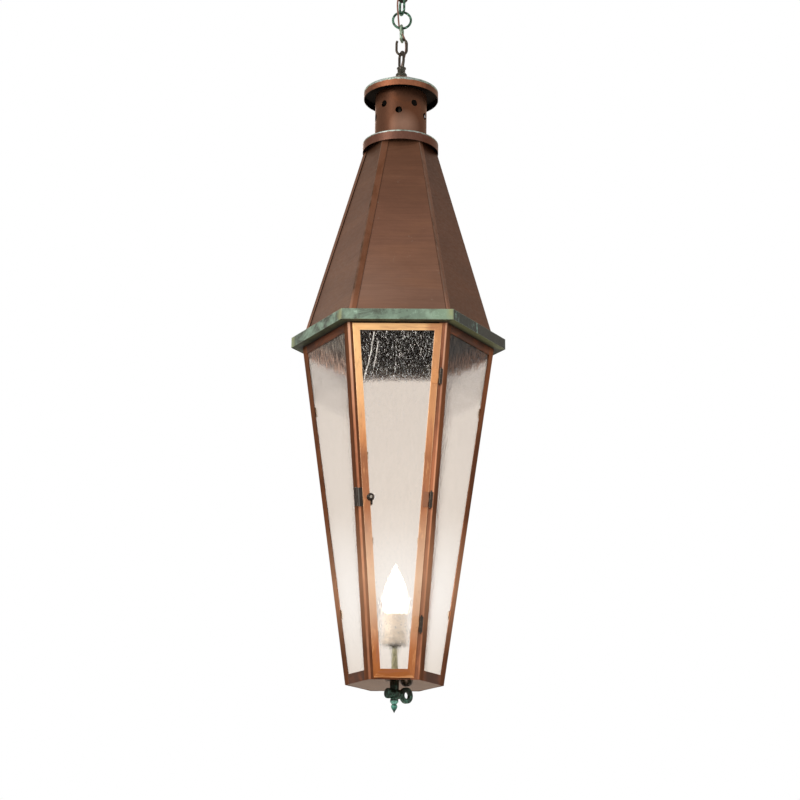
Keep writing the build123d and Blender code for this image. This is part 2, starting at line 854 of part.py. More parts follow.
with BuildPart() as hinge_post_leaves:
    for v in (hinge_high, hinge_middle, hinge_low):
        for end in (-1, 1):
            start = end * hinge_length / 2 - (end + 1) / 2 * knuckle
            with BuildSketch(hinge_plane(-v, start)):
                Circle(hinge_radius)
                with Locations((0, hinge_axis_lift / 2)):
                    Rectangle(hinge_radius, hinge_axis_lift)
            extrude(amount=knuckle)
        with BuildSketch(hinge_plane(-v, -hinge_length / 2)):
            with Locations((0, hinge_axis_lift - hinge_leaf / 2)):
                Rectangle(2 * hinge_radius, hinge_leaf)
        extrude(amount=hinge_length)
        with BuildSketch(hinge_plane(-v, -hinge_length / 2)):
            Circle(hinge_pin_radius + bore_play)
        extrude(amount=hinge_length, mode=Mode.SUBTRACT)
save(hinge_post_leaves.part, "hinge_post_leaves")

leaf_back = hinge_axis_lift - door_lift - door_sheet

with BuildPart() as hinge_door_leaves:
    for v in (hinge_high, hinge_middle, hinge_low):
        with BuildSketch(hinge_plane(-v, -knuckle / 2)):
            Circle(hinge_radius)
            with Locations((-hinge_radius, leaf_back - hinge_leaf)):
                Rectangle(2 * hinge_radius, 2 * hinge_leaf)
        extrude(amount=knuckle)
        with BuildSketch(hinge_plane(-v, -hinge_length / 2)):
            with Locations((-hinge_axis_out - hinge_leaf_width / 2, leaf_back - hinge_leaf)):
                Rectangle(hinge_leaf_width, 2 * hinge_leaf)
        extrude(amount=hinge_length)
        with BuildSketch(hinge_plane(-v, -knuckle / 2)):
            Circle(hinge_pin_radius + bore_play)
        extrude(amount=knuckle, mode=Mode.SUBTRACT)
save(hinge_door_leaves.part, "hinge_door_leaves")

with BuildPart() as hinge_pins:
    for v in (hinge_high, hinge_middle, hinge_low):
        with BuildSketch(hinge_plane(-v, -hinge_length / 2 - hinge_pin_head)):
            Circle(hinge_pin_radius)
        extrude(amount=hinge_length + 2 * hinge_pin_head)
        for end in (-1, 1):
            with Locations(hinge_plane(-v, end * (hinge_length / 2 + hinge_pin_head)).location):
                Sphere(hinge_pin_head)
save(hinge_pins.part, "hinge_pins")

# ---- latch: knob, spindle and tongue on the door; keeper on the post --------------------
door_front = door_lift + door_sheet
knob_base = door_front + escutcheon_thickness + solder_gap
tongue_front = -door_return - tongue_gap

with BuildPart() as latch_escutcheon:
    with BuildSketch(face_plane(0, door_front)):
        with Locations((latch_u, latch_v)):
            Circle(escutcheon_radius)
            Circle(spindle_radius + bore_play, mode=Mode.SUBTRACT)
    extrude(amount=escutcheon_thickness)
    fillet(latch_escutcheon.faces().sort_by(Axis.Y)[0].outer_wire().edges(), escutcheon_edge_round)
save(latch_escutcheon.part, "latch_escutcheon")

with BuildPart() as latch_knob:
    with BuildSketch(face_plane(0, knob_base + knob_neck)):
        with Locations((latch_u, latch_v)):
            Circle(knob_radius)
    extrude(amount=knob_length - knob_neck)
    fillet(latch_knob.edges().sort_by(Axis.Y)[-1:], knob_back_round)
    fillet(latch_knob.edges().sort_by(Axis.Y)[:1], knob_front_round)
    with BuildSketch(face_plane(0, knob_base)):
        with Locations((latch_u, latch_v)):
            Circle(knob_neck_radius)
    extrude(amount=knob_neck)
    with BuildSketch(face_plane(0, tongue_front - tongue_thickness)):
        with Locations((latch_u, latch_v)):
            Circle(spindle_radius)
    extrude(amount=knob_base - tongue_front + tongue_thickness)
    with BuildSketch(face_plane(0, knob_base + knob_length)):
        with Locations((latch_u, latch_v)):
            Rectangle(2 * knob_radius, knob_slot, rotation=knob_slot_turn)
    extrude(amount=-knob_slot_depth, mode=Mode.SUBTRACT)
save(latch_knob.part, "latch_knob")

with BuildPart() as latch_tongue:
    with BuildSketch(face_plane(0, tongue_front - tongue_thickness)):
        with Locations((latch_u, latch_v - (tongue_reach - tongue_width / 2) / 2)):
            SlotOverall(tongue_reach + tongue_width / 2, tongue_width, rotation=90)
        with Locations((latch_u, latch_v)):
            Circle(spindle_radius, mode=Mode.SUBTRACT)
    extrude(amount=tongue_thickness)
save(latch_tongue.part, "latch_tongue")

keeper_high = latch_v + keeper_length / 2
keeper_low = latch_v - keeper_length / 2
block_depth = -tongue_front - post_sheet - link_gap
block_high = latch_v + keeper_block_height / 2
block_low = latch_v - keeper_block_height / 2


def left_edge_strip(v_low, v_high, start, end):
    """Strip beside the front face's left corner line, between two offsets inside it."""
    return [
        (start - face_half(v_low), v_low),
        (end - face_half(v_low), v_low),
        (end - face_half(v_high), v_high),
        (start - face_half(v_high), v_high),
    ]


keeper_foot = door_face_plane.from_local_coords(
    Vector(-keeper_out - face_half(keeper_low), keeper_low, keeper_radius)
)
keeper_head = door_face_plane.from_local_coords(
    Vector(-keeper_out - face_half(keeper_high), keeper_high, keeper_radius)
)

with BuildPart() as latch_keeper:
    with BuildSketch(face_plane(0)):
        Polygon(
            *left_edge_strip(keeper_low, keeper_high, -keeper_out, door_reveal - link_gap),
            align=None,
        )
    extrude(amount=keeper_leaf)
    with BuildSketch(Plane(origin=keeper_foot, z_dir=keeper_head - keeper_foot)):
        Circle(keeper_radius)
    extrude(amount=keeper_length)
    with BuildSketch(face_plane(0, -post_sheet)):
        Polygon(
            *left_edge_strip(block_low, block_high, post_leg - keeper_block_width, post_leg),
            align=None,
        )
    extrude(amount=-block_depth)
save(latch_keeper.part, "latch_keeper")

# ---- gas-cock ornament ---------------------------------------------------------------
z_plate = z_base + plate_margin
z_plug = z_plate - cock_axis_drop
z_cock_end = z_plate - cock_body_drop
plug_axis = link_plane(z_plug, cock_yaw).x_dir


def plug_plane(distance):
    """Plane across the cock's plug, at a distance from the lantern's axis towards the key."""
    return Plane(origin=Vector(0, 0, z_plug) + plug_axis * distance, z_dir=plug_axis)


with BuildPart() as cock_body:
    with BuildSketch(Plane.XZ):
        with BuildLine():
            top = Polyline(
                (0, z_plate),
                (cock_neck_radius, z_plate),
                (cock_neck_radius, z_plate - cock_neck_length),
            )
            belly = ThreePointArc(
                top @ 1, (cock_bulb_radius, z_plug), (cock_waist_radius, z_cock_end + cock_waist_height)
            )
            Polyline(belly @ 1, (cock_waist_radius, z_cock_end), (0, z_cock_end), top @ 0)
        make_face()
    revolve(axis=Axis.Z)
    with BuildSketch(plug_plane(-cock_barrel_half)):
        Circle(cock_barrel_radius)
    extrude(amount=2 * cock_barrel_half)
    with BuildSketch(plug_plane(-cock_barrel_half)):
        Circle(plug_radius + bore_play)
    extrude(amount=2 * cock_barrel_half, mode=Mode.SUBTRACT)
    with BuildSketch(Plane.XY.offset(z_plate)):
        Circle(nipple_radius + bore_play)
    extrude(amount=-stem_thread, mode=Mode.SUBTRACT)
    with BuildSketch(Plane.XY.offset(z_cock_end)):
        Circle(finial_stud_radius + bore_play)
    extrude(amount=finial_stud, mode=Mode.SUBTRACT)
save(cock_body.part, "cock_body")

with BuildPart() as cock_key:
    with BuildSketch(plug_plane(-cock_barrel_half - link_gap - cock_disc_thickness)):
        Circle(plug_radius)
    extrude(amount=2 * cock_barrel_half + 2 * link_gap + cock_disc_thickness)
    with BuildSketch(plug_plane(cock_barrel_half + link_gap)):
        Circle(key_neck_radius)
    extrude(amount=key_reach - key_ring_radius - cock_barrel_half + key_neck_in_ring)
    with BuildSketch(link_plane(z_plug, cock_yaw).offset(-key_thickness / 2)):
        with Locations((key_reach, 0)):
            Circle(key_ring_radius)
            Circle(key_hole_radius, mode=Mode.SUBTRACT)
    extrude(amount=key_thickness)
save(cock_key.part, "cock_key")

with BuildPart() as cock_disc:
    with BuildSketch(plug_plane(-cock_barrel_half - link_gap - cock_disc_thickness)):
        Circle(cock_disc_radius)
        Circle(plug_radius, mode=Mode.SUBTRACT)
    extrude(amount=cock_disc_thickness)
save(cock_disc.part, "cock_disc")

z_finial_collar = z_cock_end - finial_collar_height
z_finial_step = z_finial_collar - finial_slope
z_finial_neck = z_finial_step - finial_step_height - finial_slope
z_acorn = z_finial_neck - finial_neck_height

with BuildPart() as finial:
    with BuildSketch(Plane.XZ):
        with BuildLine():
            collar = Polyline(
                (0, z_cock_end),
                (finial_collar_radius, z_cock_end),
                (finial_collar_radius, z_finial_collar),
                (finial_step_radius, z_finial_step),
                (finial_step_radius, z_finial_step - finial_step_height),
                (finial_neck_radius, z_finial_neck),
                (finial_neck_radius, z_acorn),
            )
            acorn = Spline(
                collar @ 1,
                (finial_acorn_radius, z_acorn - finial_acorn_shoulder),
                (finial_acorn_waist, z_plate - finial_drop + finial_tip_height),
                (0, z_plate - finial_drop),
                tangents=((1, -0.4), (-0.5, -1)),
            )
            Line(acorn @ 1, collar @ 0)
        make_face()
    revolve(axis=Axis.Z)
    with BuildSketch(Plane.XY.offset(z_cock_end)):
        Circle(finial_stud_radius)
    extrude(amount=finial_stud - link_gap)
save(finial.part, "finial")

# ---- lamp -----------------------------------------------------------------------------
z_socket = z_plate + stem_rise
z_socket_top = z_socket + socket_height
lead_angle = 2 * side_angle
lead_side = Vector(1, 0, 0).rotate(Axis.Z, lead_angle)

with BuildPart() as lamp_stem:
    with BuildSketch(Plane.XY.offset(z_plate - stem_thread + link_gap)):
        Circle(nipple_radius)
        Circle(nipple_bore_radius, mode=Mode.SUBTRACT)
    extrude(amount=z_socket - z_plate + 2 * stem_thread - link_gap)
    with BuildSketch(Plane(origin=(0, 0, z_plate + lead_hole_level), z_dir=lead_side)):
        Circle(cord_radius + link_gap)
    extrude(amount=2 * nipple_radius, mode=Mode.SUBTRACT)
save(lamp_stem.part, "lamp_stem")

with BuildPart() as lamp_socket:
    with BuildSketch(Plane.XY.offset(z_socket)):
        Circle(socket_base_radius)
    extrude(amount=socket_foot)
    with BuildSketch(Plane.XY.offset(z_socket + socket_foot)):
        Circle(socket_base_radius - socket_foot_step)
    with BuildSketch(Plane.XY.offset(z_socket_top)):
        Circle(socket_top_radius)
    loft()
    with BuildSketch(Plane.XY.offset(z_socket_top)):
        Circle(socket_bore_radius)
    extrude(amount=-bulb_base_length - link_gap, mode=Mode.SUBTRACT)
    with BuildSketch(Plane.XY.offset(z_socket)):
        Circle(nipple_radius + bore_play)
    extrude(amount=socket_height - bulb_base_length - socket_floor, mode=Mode.SUBTRACT)
save(lamp_socket.part, "lamp_socket")

with BuildPart() as bulb_base:
    with BuildSketch(Plane.XY.offset(z_socket_top - bulb_base_length)):
        Circle(bulb_base_radius)
    extrude(amount=bulb_base_length)
    chamfer(bulb_base.faces().sort_by(Axis.Z)[0].outer_wire().edges(), bulb_base_chamfer)
save(bulb_base.part, "bulb_base")

with BuildPart() as bulb_glass:
    with BuildSketch(Plane.XZ):
        with BuildLine():
            flame = Spline(
                (bulb_glass_neck, z_socket_top),
                (bulb_glass_radius, z_socket_top + bulb_belly_level),
                (bulb_shoulder_radius, z_socket_top + bulb_shoulder_level),
                (0, z_socket_top + bulb_glass_length),
                tangents=((0.35, 1), (-0.35, 1)),
            )
            Polyline(flame @ 1, (0, z_socket_top), flame @ 0)
        make_face()
    revolve(axis=Axis.Z)
save(bulb_glass.part, "bulb_glass")

with BuildPart() as lock_nuts:
    for level in (
        z_cap_seat - copper - nut_thickness,
        z_yoke + yoke_thickness,
        z_yoke - nut_thickness,
        z_plate + plate_thickness,
        z_socket - nut_thickness,
    ):
        with BuildSketch(Plane.XY.offset(level)):
            RegularPolygon(nut_radius, sides)
            Circle(nipple_radius + bore_play, mode=Mode.SUBTRACT)
        extrude(amount=nut_thickness)
save(lock_nuts.part, "lock_nuts")


# ---- supply cord and the lead inside the lantern ----------------------------------------
def cord_tube(points, diameter):
    """Tube of straight runs joined by the largest arcs that the runs allow."""
    vectors = [Vector(*point) for point in points]
    runs = [after - before for before, after in zip(vectors, vectors[1:])]
    radii = []
    for before, after in zip(runs, runs[1:]):
        half_turn = radians(before.get_angle(after)) / 2
        radii.append(0.45 * min(before.length, after.length) / tan(half_turn))
    with BuildPart() as tube:
        with BuildLine() as path:
            FilletPolyline(*vectors, radius=radii)
        with BuildSketch(Plane(origin=vectors[0], z_dir=runs[0])):
            Circle(diameter / 2)
        sweep()
    length = path.wires()[0].length
    share = tube.part.volume / (pi * diameter**2 / 4 * length)
    print("cord length", round(length, 1), "volume share", round(share, 4))
    print("radii", [round(radius, 1) for radius in radii])
    return tube.part


# Woven through the chain: left of the upper link, through the ring and the middle link,
# behind the open link's right leg, and down through the lantern's loop.
supply_route = [
    (0, 0, -27),
    (0, 0, -37),
    (-2.5, -7.5, -48),
    (-7.5, -8, -60),
    (-8.2, -6.6, -73),
    (-6.8, -5.2, -88),
    (-5.6, 1.5, -102),
    (-4, 5.2, -113),
    (2, 3, -124),
    (6.2, 4.6, -134),
    (7.6, 4.8, -146),
    (6.6, 4.8, -157),
    (4.6, 3.4, -168),
    (1.2, 0.6, -179),
    (0, 0, -190),
    (0, 0, -200),
]

with BuildPart() as supply_cord:
    add(cord_tube(supply_route, cord_diameter))
save(supply_cord.part, "supply_cord")


def lead_point(radius, z):
    """Point in the vertical plane through the post that the lead follows."""
    return (radius * lead_side.X, radius * lead_side.Y, z)


def post_reach(z):
    """Distance of the lead's run along its post from the lantern's axis."""
    taper = (body_top_radius - body_base_radius) / body_height
    return body_base_radius + taper * (z - z_base) - lead_in


def post_lead_point(share, aside=0.0):
    """Point of the lead's run along its post, by the share of that run from its top."""
    z = post_high + (post_low - post_high) * share
    return lead_point(post_reach(z) + aside, z)


z_lead_start = supply_route[-1][2] - solder_gap
z_lead_hole = z_plate + lead_hole_level
z_lead_turn = z_nipple_bottom - lead_straight
post_low = z_base + lead_post_end
post_high = z_band - lead_post_start

lead_route = [
    (0, 0, z_lead_start),
    lead_point(-lead_sway, (2 * z_lead_start + z_nipple_bottom) / 3),
    lead_point(lead_sway, z_nipple_bottom + lead_straight),
    lead_point(0, z_lead_turn),
    lead_point(lead_turn_reach, z_lead_turn - lead_turn_drop),
    lead_point(roof_top_radius + lead_roof_reach, z_roof_top - lead_roof_drop),
    lead_point(eave_opening_radius - lead_eave_in, z_band_top + lead_eave_rise),
    post_lead_point(0),
    post_lead_point(0.14, lead_clip_play / 4),
    post_lead_point(0.5, -lead_clip_play / 4),
    post_lead_point(0.88, lead_clip_play / 4),
    post_lead_point(1),
    lead_point(post_reach(post_low) - lead_foot_turn, z_lead_hole + lead_foot_rise),
    lead_point(nipple_bore_radius, z_lead_hole),
]

with BuildPart() as socket_lead:
    add(cord_tube(lead_route, cord_diameter))
save(socket_lead.part, "socket_lead")

with BuildPart() as lead_clips:
    for share in lead_clip_levels:
        centre = Vector(*post_lead_point(share))
        with BuildSketch(Plane(origin=centre, x_dir=lead_side, z_dir=(0, 0, 1))):
            Circle(cord_radius + lead_clip_play + lead_clip_wall)
            with Locations(((lead_in - lead_clip_heel) / 2, 0)):
                Rectangle(lead_in - lead_clip_heel, lead_clip_width)
            Circle(cord_radius + lead_clip_play, mode=Mode.SUBTRACT)
        extrude(amount=lead_clip_width)
save(lead_clips.part, "lead_clips")
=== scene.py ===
"""Looks of the hanging lantern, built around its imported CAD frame."""

import json
import math

import bpy
from mathutils import Matrix, Vector


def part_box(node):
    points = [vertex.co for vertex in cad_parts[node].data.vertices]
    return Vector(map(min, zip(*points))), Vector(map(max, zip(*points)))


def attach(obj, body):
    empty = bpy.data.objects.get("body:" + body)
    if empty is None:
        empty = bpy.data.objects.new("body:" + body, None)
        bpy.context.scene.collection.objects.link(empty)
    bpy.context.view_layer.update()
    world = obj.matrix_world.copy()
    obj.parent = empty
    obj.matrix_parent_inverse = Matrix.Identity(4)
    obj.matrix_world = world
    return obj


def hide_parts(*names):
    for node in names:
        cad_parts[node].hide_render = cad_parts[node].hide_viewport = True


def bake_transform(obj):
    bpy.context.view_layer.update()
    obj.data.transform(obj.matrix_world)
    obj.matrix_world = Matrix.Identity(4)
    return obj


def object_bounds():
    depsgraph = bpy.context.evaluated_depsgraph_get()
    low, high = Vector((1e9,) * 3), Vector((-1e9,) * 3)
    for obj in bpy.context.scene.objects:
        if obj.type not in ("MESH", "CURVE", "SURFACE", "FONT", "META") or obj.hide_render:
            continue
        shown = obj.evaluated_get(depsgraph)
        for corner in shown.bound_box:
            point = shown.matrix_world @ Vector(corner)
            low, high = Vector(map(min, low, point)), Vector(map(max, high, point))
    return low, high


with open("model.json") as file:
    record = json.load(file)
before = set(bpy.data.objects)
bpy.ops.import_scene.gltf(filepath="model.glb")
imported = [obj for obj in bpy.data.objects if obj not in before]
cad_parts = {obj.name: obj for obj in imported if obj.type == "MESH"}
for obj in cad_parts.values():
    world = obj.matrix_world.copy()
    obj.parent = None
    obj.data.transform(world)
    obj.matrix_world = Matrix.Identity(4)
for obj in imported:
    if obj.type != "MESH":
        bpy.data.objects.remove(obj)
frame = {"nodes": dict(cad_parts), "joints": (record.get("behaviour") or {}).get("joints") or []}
cad_low, cad_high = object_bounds()
nodes = frame["nodes"]
joints = {joint["name"]: joint for joint in frame["joints"]}
scene = bpy.context.scene
scene.view_settings.view_transform = "Standard"

# ---- camera ------------------------------------------------------------------------
PITCH = 0.28384                   # upwards
ROLL = 0.011
YAW = 0.012                       # the lantern hangs slightly turned
STAND = (0.003884, -3.047378, -1.677708)
SENSOR = 36                       # mm
LENS = 86.66                      # mm
right = Vector((1, 0, 0))
ahead = Vector((0, math.cos(PITCH), math.sin(PITCH)))
above = Vector((0, -math.sin(PITCH), math.cos(PITCH)))
cam_x = right * math.cos(ROLL) + above * math.sin(ROLL)
cam_y = above * math.cos(ROLL) - right * math.sin(ROLL)
camera = bpy.data.objects.new("Camera", bpy.data.cameras.new("Camera"))
scene.collection.objects.link(camera)
looking = Matrix((cam_x, cam_y, -ahead)).transposed().to_4x4()
camera.matrix_world = Matrix.Rotation(YAW, 4, "Z") @ Matrix.Translation(STAND) @ looking
camera.data.sensor_width = SENSOR
camera.data.lens = LENS
scene.camera = camera

# ---- places that the materials use --------------------------------------------------
# All are in the frame, in metres; its zero is the middle of the canopy's rim at the ceiling.
bulb_low, bulb_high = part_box("bulb_glass")
BULB = (0, 0, (bulb_low.z + bulb_high.z) / 2)
band_low, band_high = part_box("eave_fascia")
plate_low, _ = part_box("bottom_plate")
FACE_TURN = math.pi / 3           # from one face of the body to the next
FRONT_TURN = -math.pi / 2         # the door's face, about the vertical from +X


# ---- material helpers --------------------------------------------------------------
def rgb(r, g, b):
    """Linear colour of an sRGB one written in 0 to 255."""
    def linear(c):
        c /= 255
        return c / 12.92 if c <= 0.04045 else ((c + 0.055) / 1.055) ** 2.4

    return (linear(r), linear(g), linear(b), 1)


class Tree:
    """A material's node tree, with one short call for each kind of node."""

    def __init__(self, name):
        self.material = bpy.data.materials.new(name)
        self.material.use_nodes = True
        self.tree = self.material.node_tree
        self.tree.nodes.clear()
        coordinates = self.node("ShaderNodeTexCoord")
        self.place = coordinates.outputs["Object"]
        self.facing = coordinates.outputs["Normal"]
        self.uv = coordinates.outputs["UV"]

    # nodes and sockets
    def node(self, kind, **settings):
        made = self.tree.nodes.new(kind)
        for key, value in settings.items():
            setattr(made, key, value)
        return made

    def feed(self, socket, value):
        if isinstance(value, bpy.types.NodeSocket):
            self.tree.links.new(value, socket)
        elif value is not None:
            socket.default_value = value

    def math(self, operation, *values, clamp=False):
        made = self.node("ShaderNodeMath", operation=operation, use_clamp=clamp)
        for socket, value in zip(made.inputs, values):
            self.feed(socket, value)
        return made.outputs[0]

    def times(self, first, *others):
        for other in others:
            first = self.math("MULTIPLY", first, other)
        return first

    def plus(self, first, *others):
        for other in others:
            first = self.math("ADD", first, other)
        return first

    def vector(self, operation, *values):
        made = self.node("ShaderNodeVectorMath", operation=operation)
        for socket, value in zip(made.inputs, values):
            self.feed(socket, value)
        single = operation in ("DOT_PRODUCT", "LENGTH", "DISTANCE")
        return made.outputs["Value" if single else "Vector"]

    def span(self, value, low, high, to_low=0.0, to_high=1.0):
        """The value's place between low and high, as a number from to_low to to_high."""
        made = self.node("ShaderNodeMapRange", clamp=True)
        for key, item in zip(
            ("Value", "From Min", "From Max", "To Min", "To Max"),
            (value, low, high, to_low, to_high),
        ):
            self.feed(made.inputs[key], item)
        return made.outputs["Result"]

    def between(self, value, low, high, soft):
        """1 where the value lies from low to high, 0 outside, soft at both ends."""
        return self.times(
            self.span(value, low - soft, low + soft), self.span(value, high + soft, high - soft)
        )

    def mix(self, share, a, b, blend="MIX"):
        made = self.node("ShaderNodeMix", data_type="RGBA", blend_type=blend)
        self.feed(made.inputs[0], share)
        self.feed(made.inputs[6], a)
        self.feed(made.inputs[7], b)
        return made.outputs[2]

    def ramp(self, value, stops):
        made = self.node("ShaderNodeValToRGB")
        self.feed(made.inputs["Fac"], value)
        band = made.color_ramp
        while len(band.elements) < len(stops):
            band.elements.new(0.5)
        for element, (at, colour) in zip(band.elements, stops):
            element.position = at
            element.color = colour
        return made.outputs["Color"]

    # places on the object
    def stretch(self, scale, turn=(0, 0, 0), vector=None):
        """The object's coordinates, turned and then scaled per axis."""
        made = self.node("ShaderNodeMapping", vector_type="POINT")
        self.feed(made.inputs["Vector"], vector or self.place)
        made.inputs["Rotation"].default_value = turn
        made.inputs["Scale"].default_value = scale
        return made.outputs["Vector"]

    def axes(self, vector=None):
        made = self.node("ShaderNodeSeparateXYZ")
        self.feed(made.inputs[0], vector or self.place)
        return made.outputs

    def height(self):
        return self.axes()["Z"]

    def flat(self):
        """The place without its height."""
        return self.vector("MULTIPLY", self.place, (1, 1, 0))

    def radius(self):
        return self.vector("LENGTH", self.flat())

    def turn(self):
        x, y, _ = self.axes()
        return self.math("ARCTAN2", y, x)

    def outward(self):
        """1 on faces that look away from the vertical axis, -1 on those that look at it."""
        return self.vector("DOT_PRODUCT", self.facing, self.vector("NORMALIZE", self.flat()))

    def downward(self):
        return self.span(self.axes(self.facing)["Z"], -0.5, -0.8)

    def off_corner(self):
        """Distance along a face from the nearest of the six corner lines."""
        turn = self.math("WRAP", self.turn(), FACE_TURN / 2, -FACE_TURN / 2)
        return self.times(self.radius(), self.math("ABSOLUTE", self.math("SINE", turn)))

    def on_face(self, index):
        """1 on one of the body's six faces, counted from the door's towards +X."""
        middle = FRONT_TURN + index * FACE_TURN
        away = self.math("WRAP", self.math("SUBTRACT", self.turn(), middle), math.pi, -math.pi)
        return self.span(self.math("ABSOLUTE", away), FACE_TURN / 2 + 0.01, FACE_TURN / 2 - 0.01)

    def along_face(self, index):
        """Distance across one face from its middle, towards the next face."""
        return self.axes(self.stretch((1, 1, 1), (0, 0, -FACE_TURN * index)))["X"]

    def apothem(self):
        """Distance from the vertical axis, square to the nearest face."""
        turn = self.math("SUBTRACT", self.turn(), FRONT_TURN)
        turn = self.math("WRAP", turn, FACE_TURN / 2, -FACE_TURN / 2)
        return self.times(self.radius(), self.math("COSINE", turn))

    def near(self, point, close, far):
        """1 within close of a point, falling to 0 at far."""
        return self.span(self.vector("DISTANCE", self.place, point), far, close)

    def off_line(self, point, way):
        """Distance from a straight line."""
        offset = self.vector("SUBTRACT", self.place, point)
        return self.vector("LENGTH", self.vector("CROSS_PRODUCT", offset, way))

    # patterns
    def noise(self, scale, detail=4, rough=0.55, twist=0.0, vector=None):
        made = self.node("ShaderNodeTexNoise")
        self.feed(made.inputs["Vector"], vector or self.place)
        made.inputs["Scale"].default_value = scale
        made.inputs["Detail"].default_value = detail
        made.inputs["Roughness"].default_value = rough
        made.inputs["Distortion"].default_value = twist
        return made.outputs["Fac"]

    def bevel(self, radius):
        soft = self.node("ShaderNodeBevel", samples=6)
        soft.inputs["Radius"].default_value = radius
        return soft.outputs[0]

    def edges(self, radius, low=0.002, high=0.12):
        """1 on edges and corners, 0 on open faces."""
        plain = self.node("ShaderNodeNewGeometry").outputs["Normal"]
        along = self.vector("DOT_PRODUCT", self.bevel(radius), plain)
        return self.span(self.math("SUBTRACT", 1.0, along), low, high)

    def bump(self, height, strength, distance, normal=None):
        made = self.node("ShaderNodeBump")
        self.feed(made.inputs["Height"], height)
        made.inputs["Strength"].default_value = strength
        made.inputs["Distance"].default_value = distance
        self.feed(made.inputs["Normal"], normal)
        return made.outputs["Normal"]

    # shaders
    def surface(self, colour, **sockets):
        made = self.node("ShaderNodeBsdfPrincipled")
        self.feed(made.inputs["Base Color"], colour)
        for key, value in sockets.items():
            self.feed(made.inputs[key.replace("_", " ")], value)
        return made.outputs[0]

    def output(self, shader):
        made = self.node("ShaderNodeOutputMaterial")
        self.feed(made.inputs["Surface"], shader)
        return self.material


def dress(names, material):
    """Gives CAD nodes one material."""
    for name in names:
        slots = nodes[name].data.materials
        slots.clear()
        slots.append(material)


def titled(name):
    """A material's name after a node: TopRails for top_rails."""
    return name.title().replace("_", "")


def tone_by_height(t, tones):
    """One colour, or a row of them with the heights where each is reached."""
    if isinstance(tones, tuple):
        return tones
    heights = sorted(tones)
    low, high = heights[0], heights[-1]
    stops = [((z - low) / (high - low), tones[z]) for z in heights]
    return t.ramp(t.span(t.height(), low, high), stops)


GRAIN = 14                        # how much finer than the clouds the grain is
SPECKLE = 60                      # and the relief's speckle
DULL_GRAZE = (0.74, 0.6, 0.5, 1)  # colour of dull copper seen at a grazing angle


def metal(
    name,
    tones,
    patch=None,
    patch_share=0.5,
    patch_scale=18,
    spread=0.2,
    scale=26,
    stretch=(1, 1, 1),
    crust=None,
    crust_share=0.2,
    crust_scale=60,
    edge=None,
    edge_radius=0.0012,
    edge_share=0.7,
    rough=(0.34, 0.55),
    shine=0.7,
    dents=0.25,
    graze=(0.86, 0.76, 0.68, 1),
    finish=None,
):
    """Aged sheet or cast metal: cloudy tones, grain, patches, crust and bright worn edges.

    tones is the main colour, spread how far the clouds and the grain lighten and darken it.
    Each share says how much of its layer shows. rough is the least and the most roughness,
    graze the colour seen at a grazing angle. finish(t, colour, grain) goes on last.
    """
    t = Tree(name)
    pulled = t.stretch(stretch)
    clouds = t.noise(scale, 6, 0.6, 0.4, pulled)
    grain = t.noise(scale * GRAIN, 5, 0.7, 0.0, pulled)
    tone = t.plus(t.times(clouds, 0.65), t.times(grain, 0.35))
    colour = tone_by_height(t, tones)
    if patch:
        patches = t.noise(patch_scale, 4, 0.6, 1.2, t.stretch(stretch, (0.7, 0.4, 0.2)))
        colour = t.mix(t.times(t.span(patches, 0.45, 0.6), patch_share), colour, patch)
    shade = t.span(tone, 0.34, 0.66, 1 - spread, 1 + spread)
    colour = t.mix(1.0, colour, shade, "MULTIPLY")
    if crust:
        band_tone = t.plus(t.noise(crust_scale, 8, 0.7, 0.6), t.times(grain, 0.35))
        share = t.span(band_tone, 0.88 - 0.5 * crust_share, 1.0 - 0.5 * crust_share)
        colour = t.mix(share, colour, crust)
    if edge:
        worn = t.times(t.edges(edge_radius), t.span(grain, 0.3, 0.6, 0.35, 1), edge_share)
        colour = t.mix(worn, colour, edge)
    if finish:
        colour = finish(t, colour, grain)
    speckle = t.noise(scale * SPECKLE, 3, 0.8)
    relief = t.plus(t.times(clouds, 0.6), t.times(speckle, 0.4))
    return t.output(
        t.surface(
            colour,
            Metallic=shine,
            Specular_Tint=graze,
            Roughness=t.span(grain, 0.3, 0.7, *rough),
            Normal=t.bump(relief, dents, 0.0006, t.bevel(edge_radius * 0.6)),
        )
    )


# nearly black, for the painted shade inside and under the lantern
SHADE_BLACK = rgb(13, 9, 7)


def painted_shade_inside(t, colour, grain):
    """The lantern's inner and lower faces are painted nearly black as painted shade."""
    inner = t.span(t.outward(), 0.05, -0.2)
    return t.mix(t.math("MAXIMUM", inner, t.downward()), colour, SHADE_BLACK)


# ---- steel and bronze ----------------------------------------------------------------
# the nipple, nuts and yoke inside the cap and neck are coloured nearly black as painted shade
dress(
    ["lock_nuts", "top_nipple", "neck_yoke"],
    metal("DarkShadedSteel", rgb(52, 46, 40), scale=40, shine=0.6, rough=(0.45, 0.65)),
)
dress(
    ["ceiling_strap"],
    metal(
        "Steel", rgb(150, 150, 146), scale=40, edge=rgb(215, 215, 210), shine=0.9,
        rough=(0.25, 0.4), graze=(1, 1, 1, 1),
    ),
)
dress(
    ["canopy", "canopy_nuts"],
    metal(
        "CanopyCopper", rgb(104, 68, 50), patch=rgb(126, 76, 50), crust=rgb(118, 130, 112),
        crust_share=0.2, edge=rgb(190, 128, 88),
    ),
)
dress(
    ["canopy_loop", "open_link"],
    metal(
        "DarkBronze", rgb(58, 50, 42), spread=0.4, scale=60, crust=rgb(90, 104, 92),
        crust_scale=160, edge=rgb(170, 162, 146), edge_radius=0.0009, rough=(0.26, 0.46),
    ),
)
dress(
    ["chain_ring", "upper_link"],
    metal(
        "GreenBronze", rgb(40, 58, 46), spread=0.4, scale=90, crust=rgb(104, 150, 126),
        crust_share=0.45, crust_scale=220, edge=rgb(130, 160, 138), edge_radius=0.0008,
        edge_share=0.4, rough=(0.3, 0.5),
    ),
)
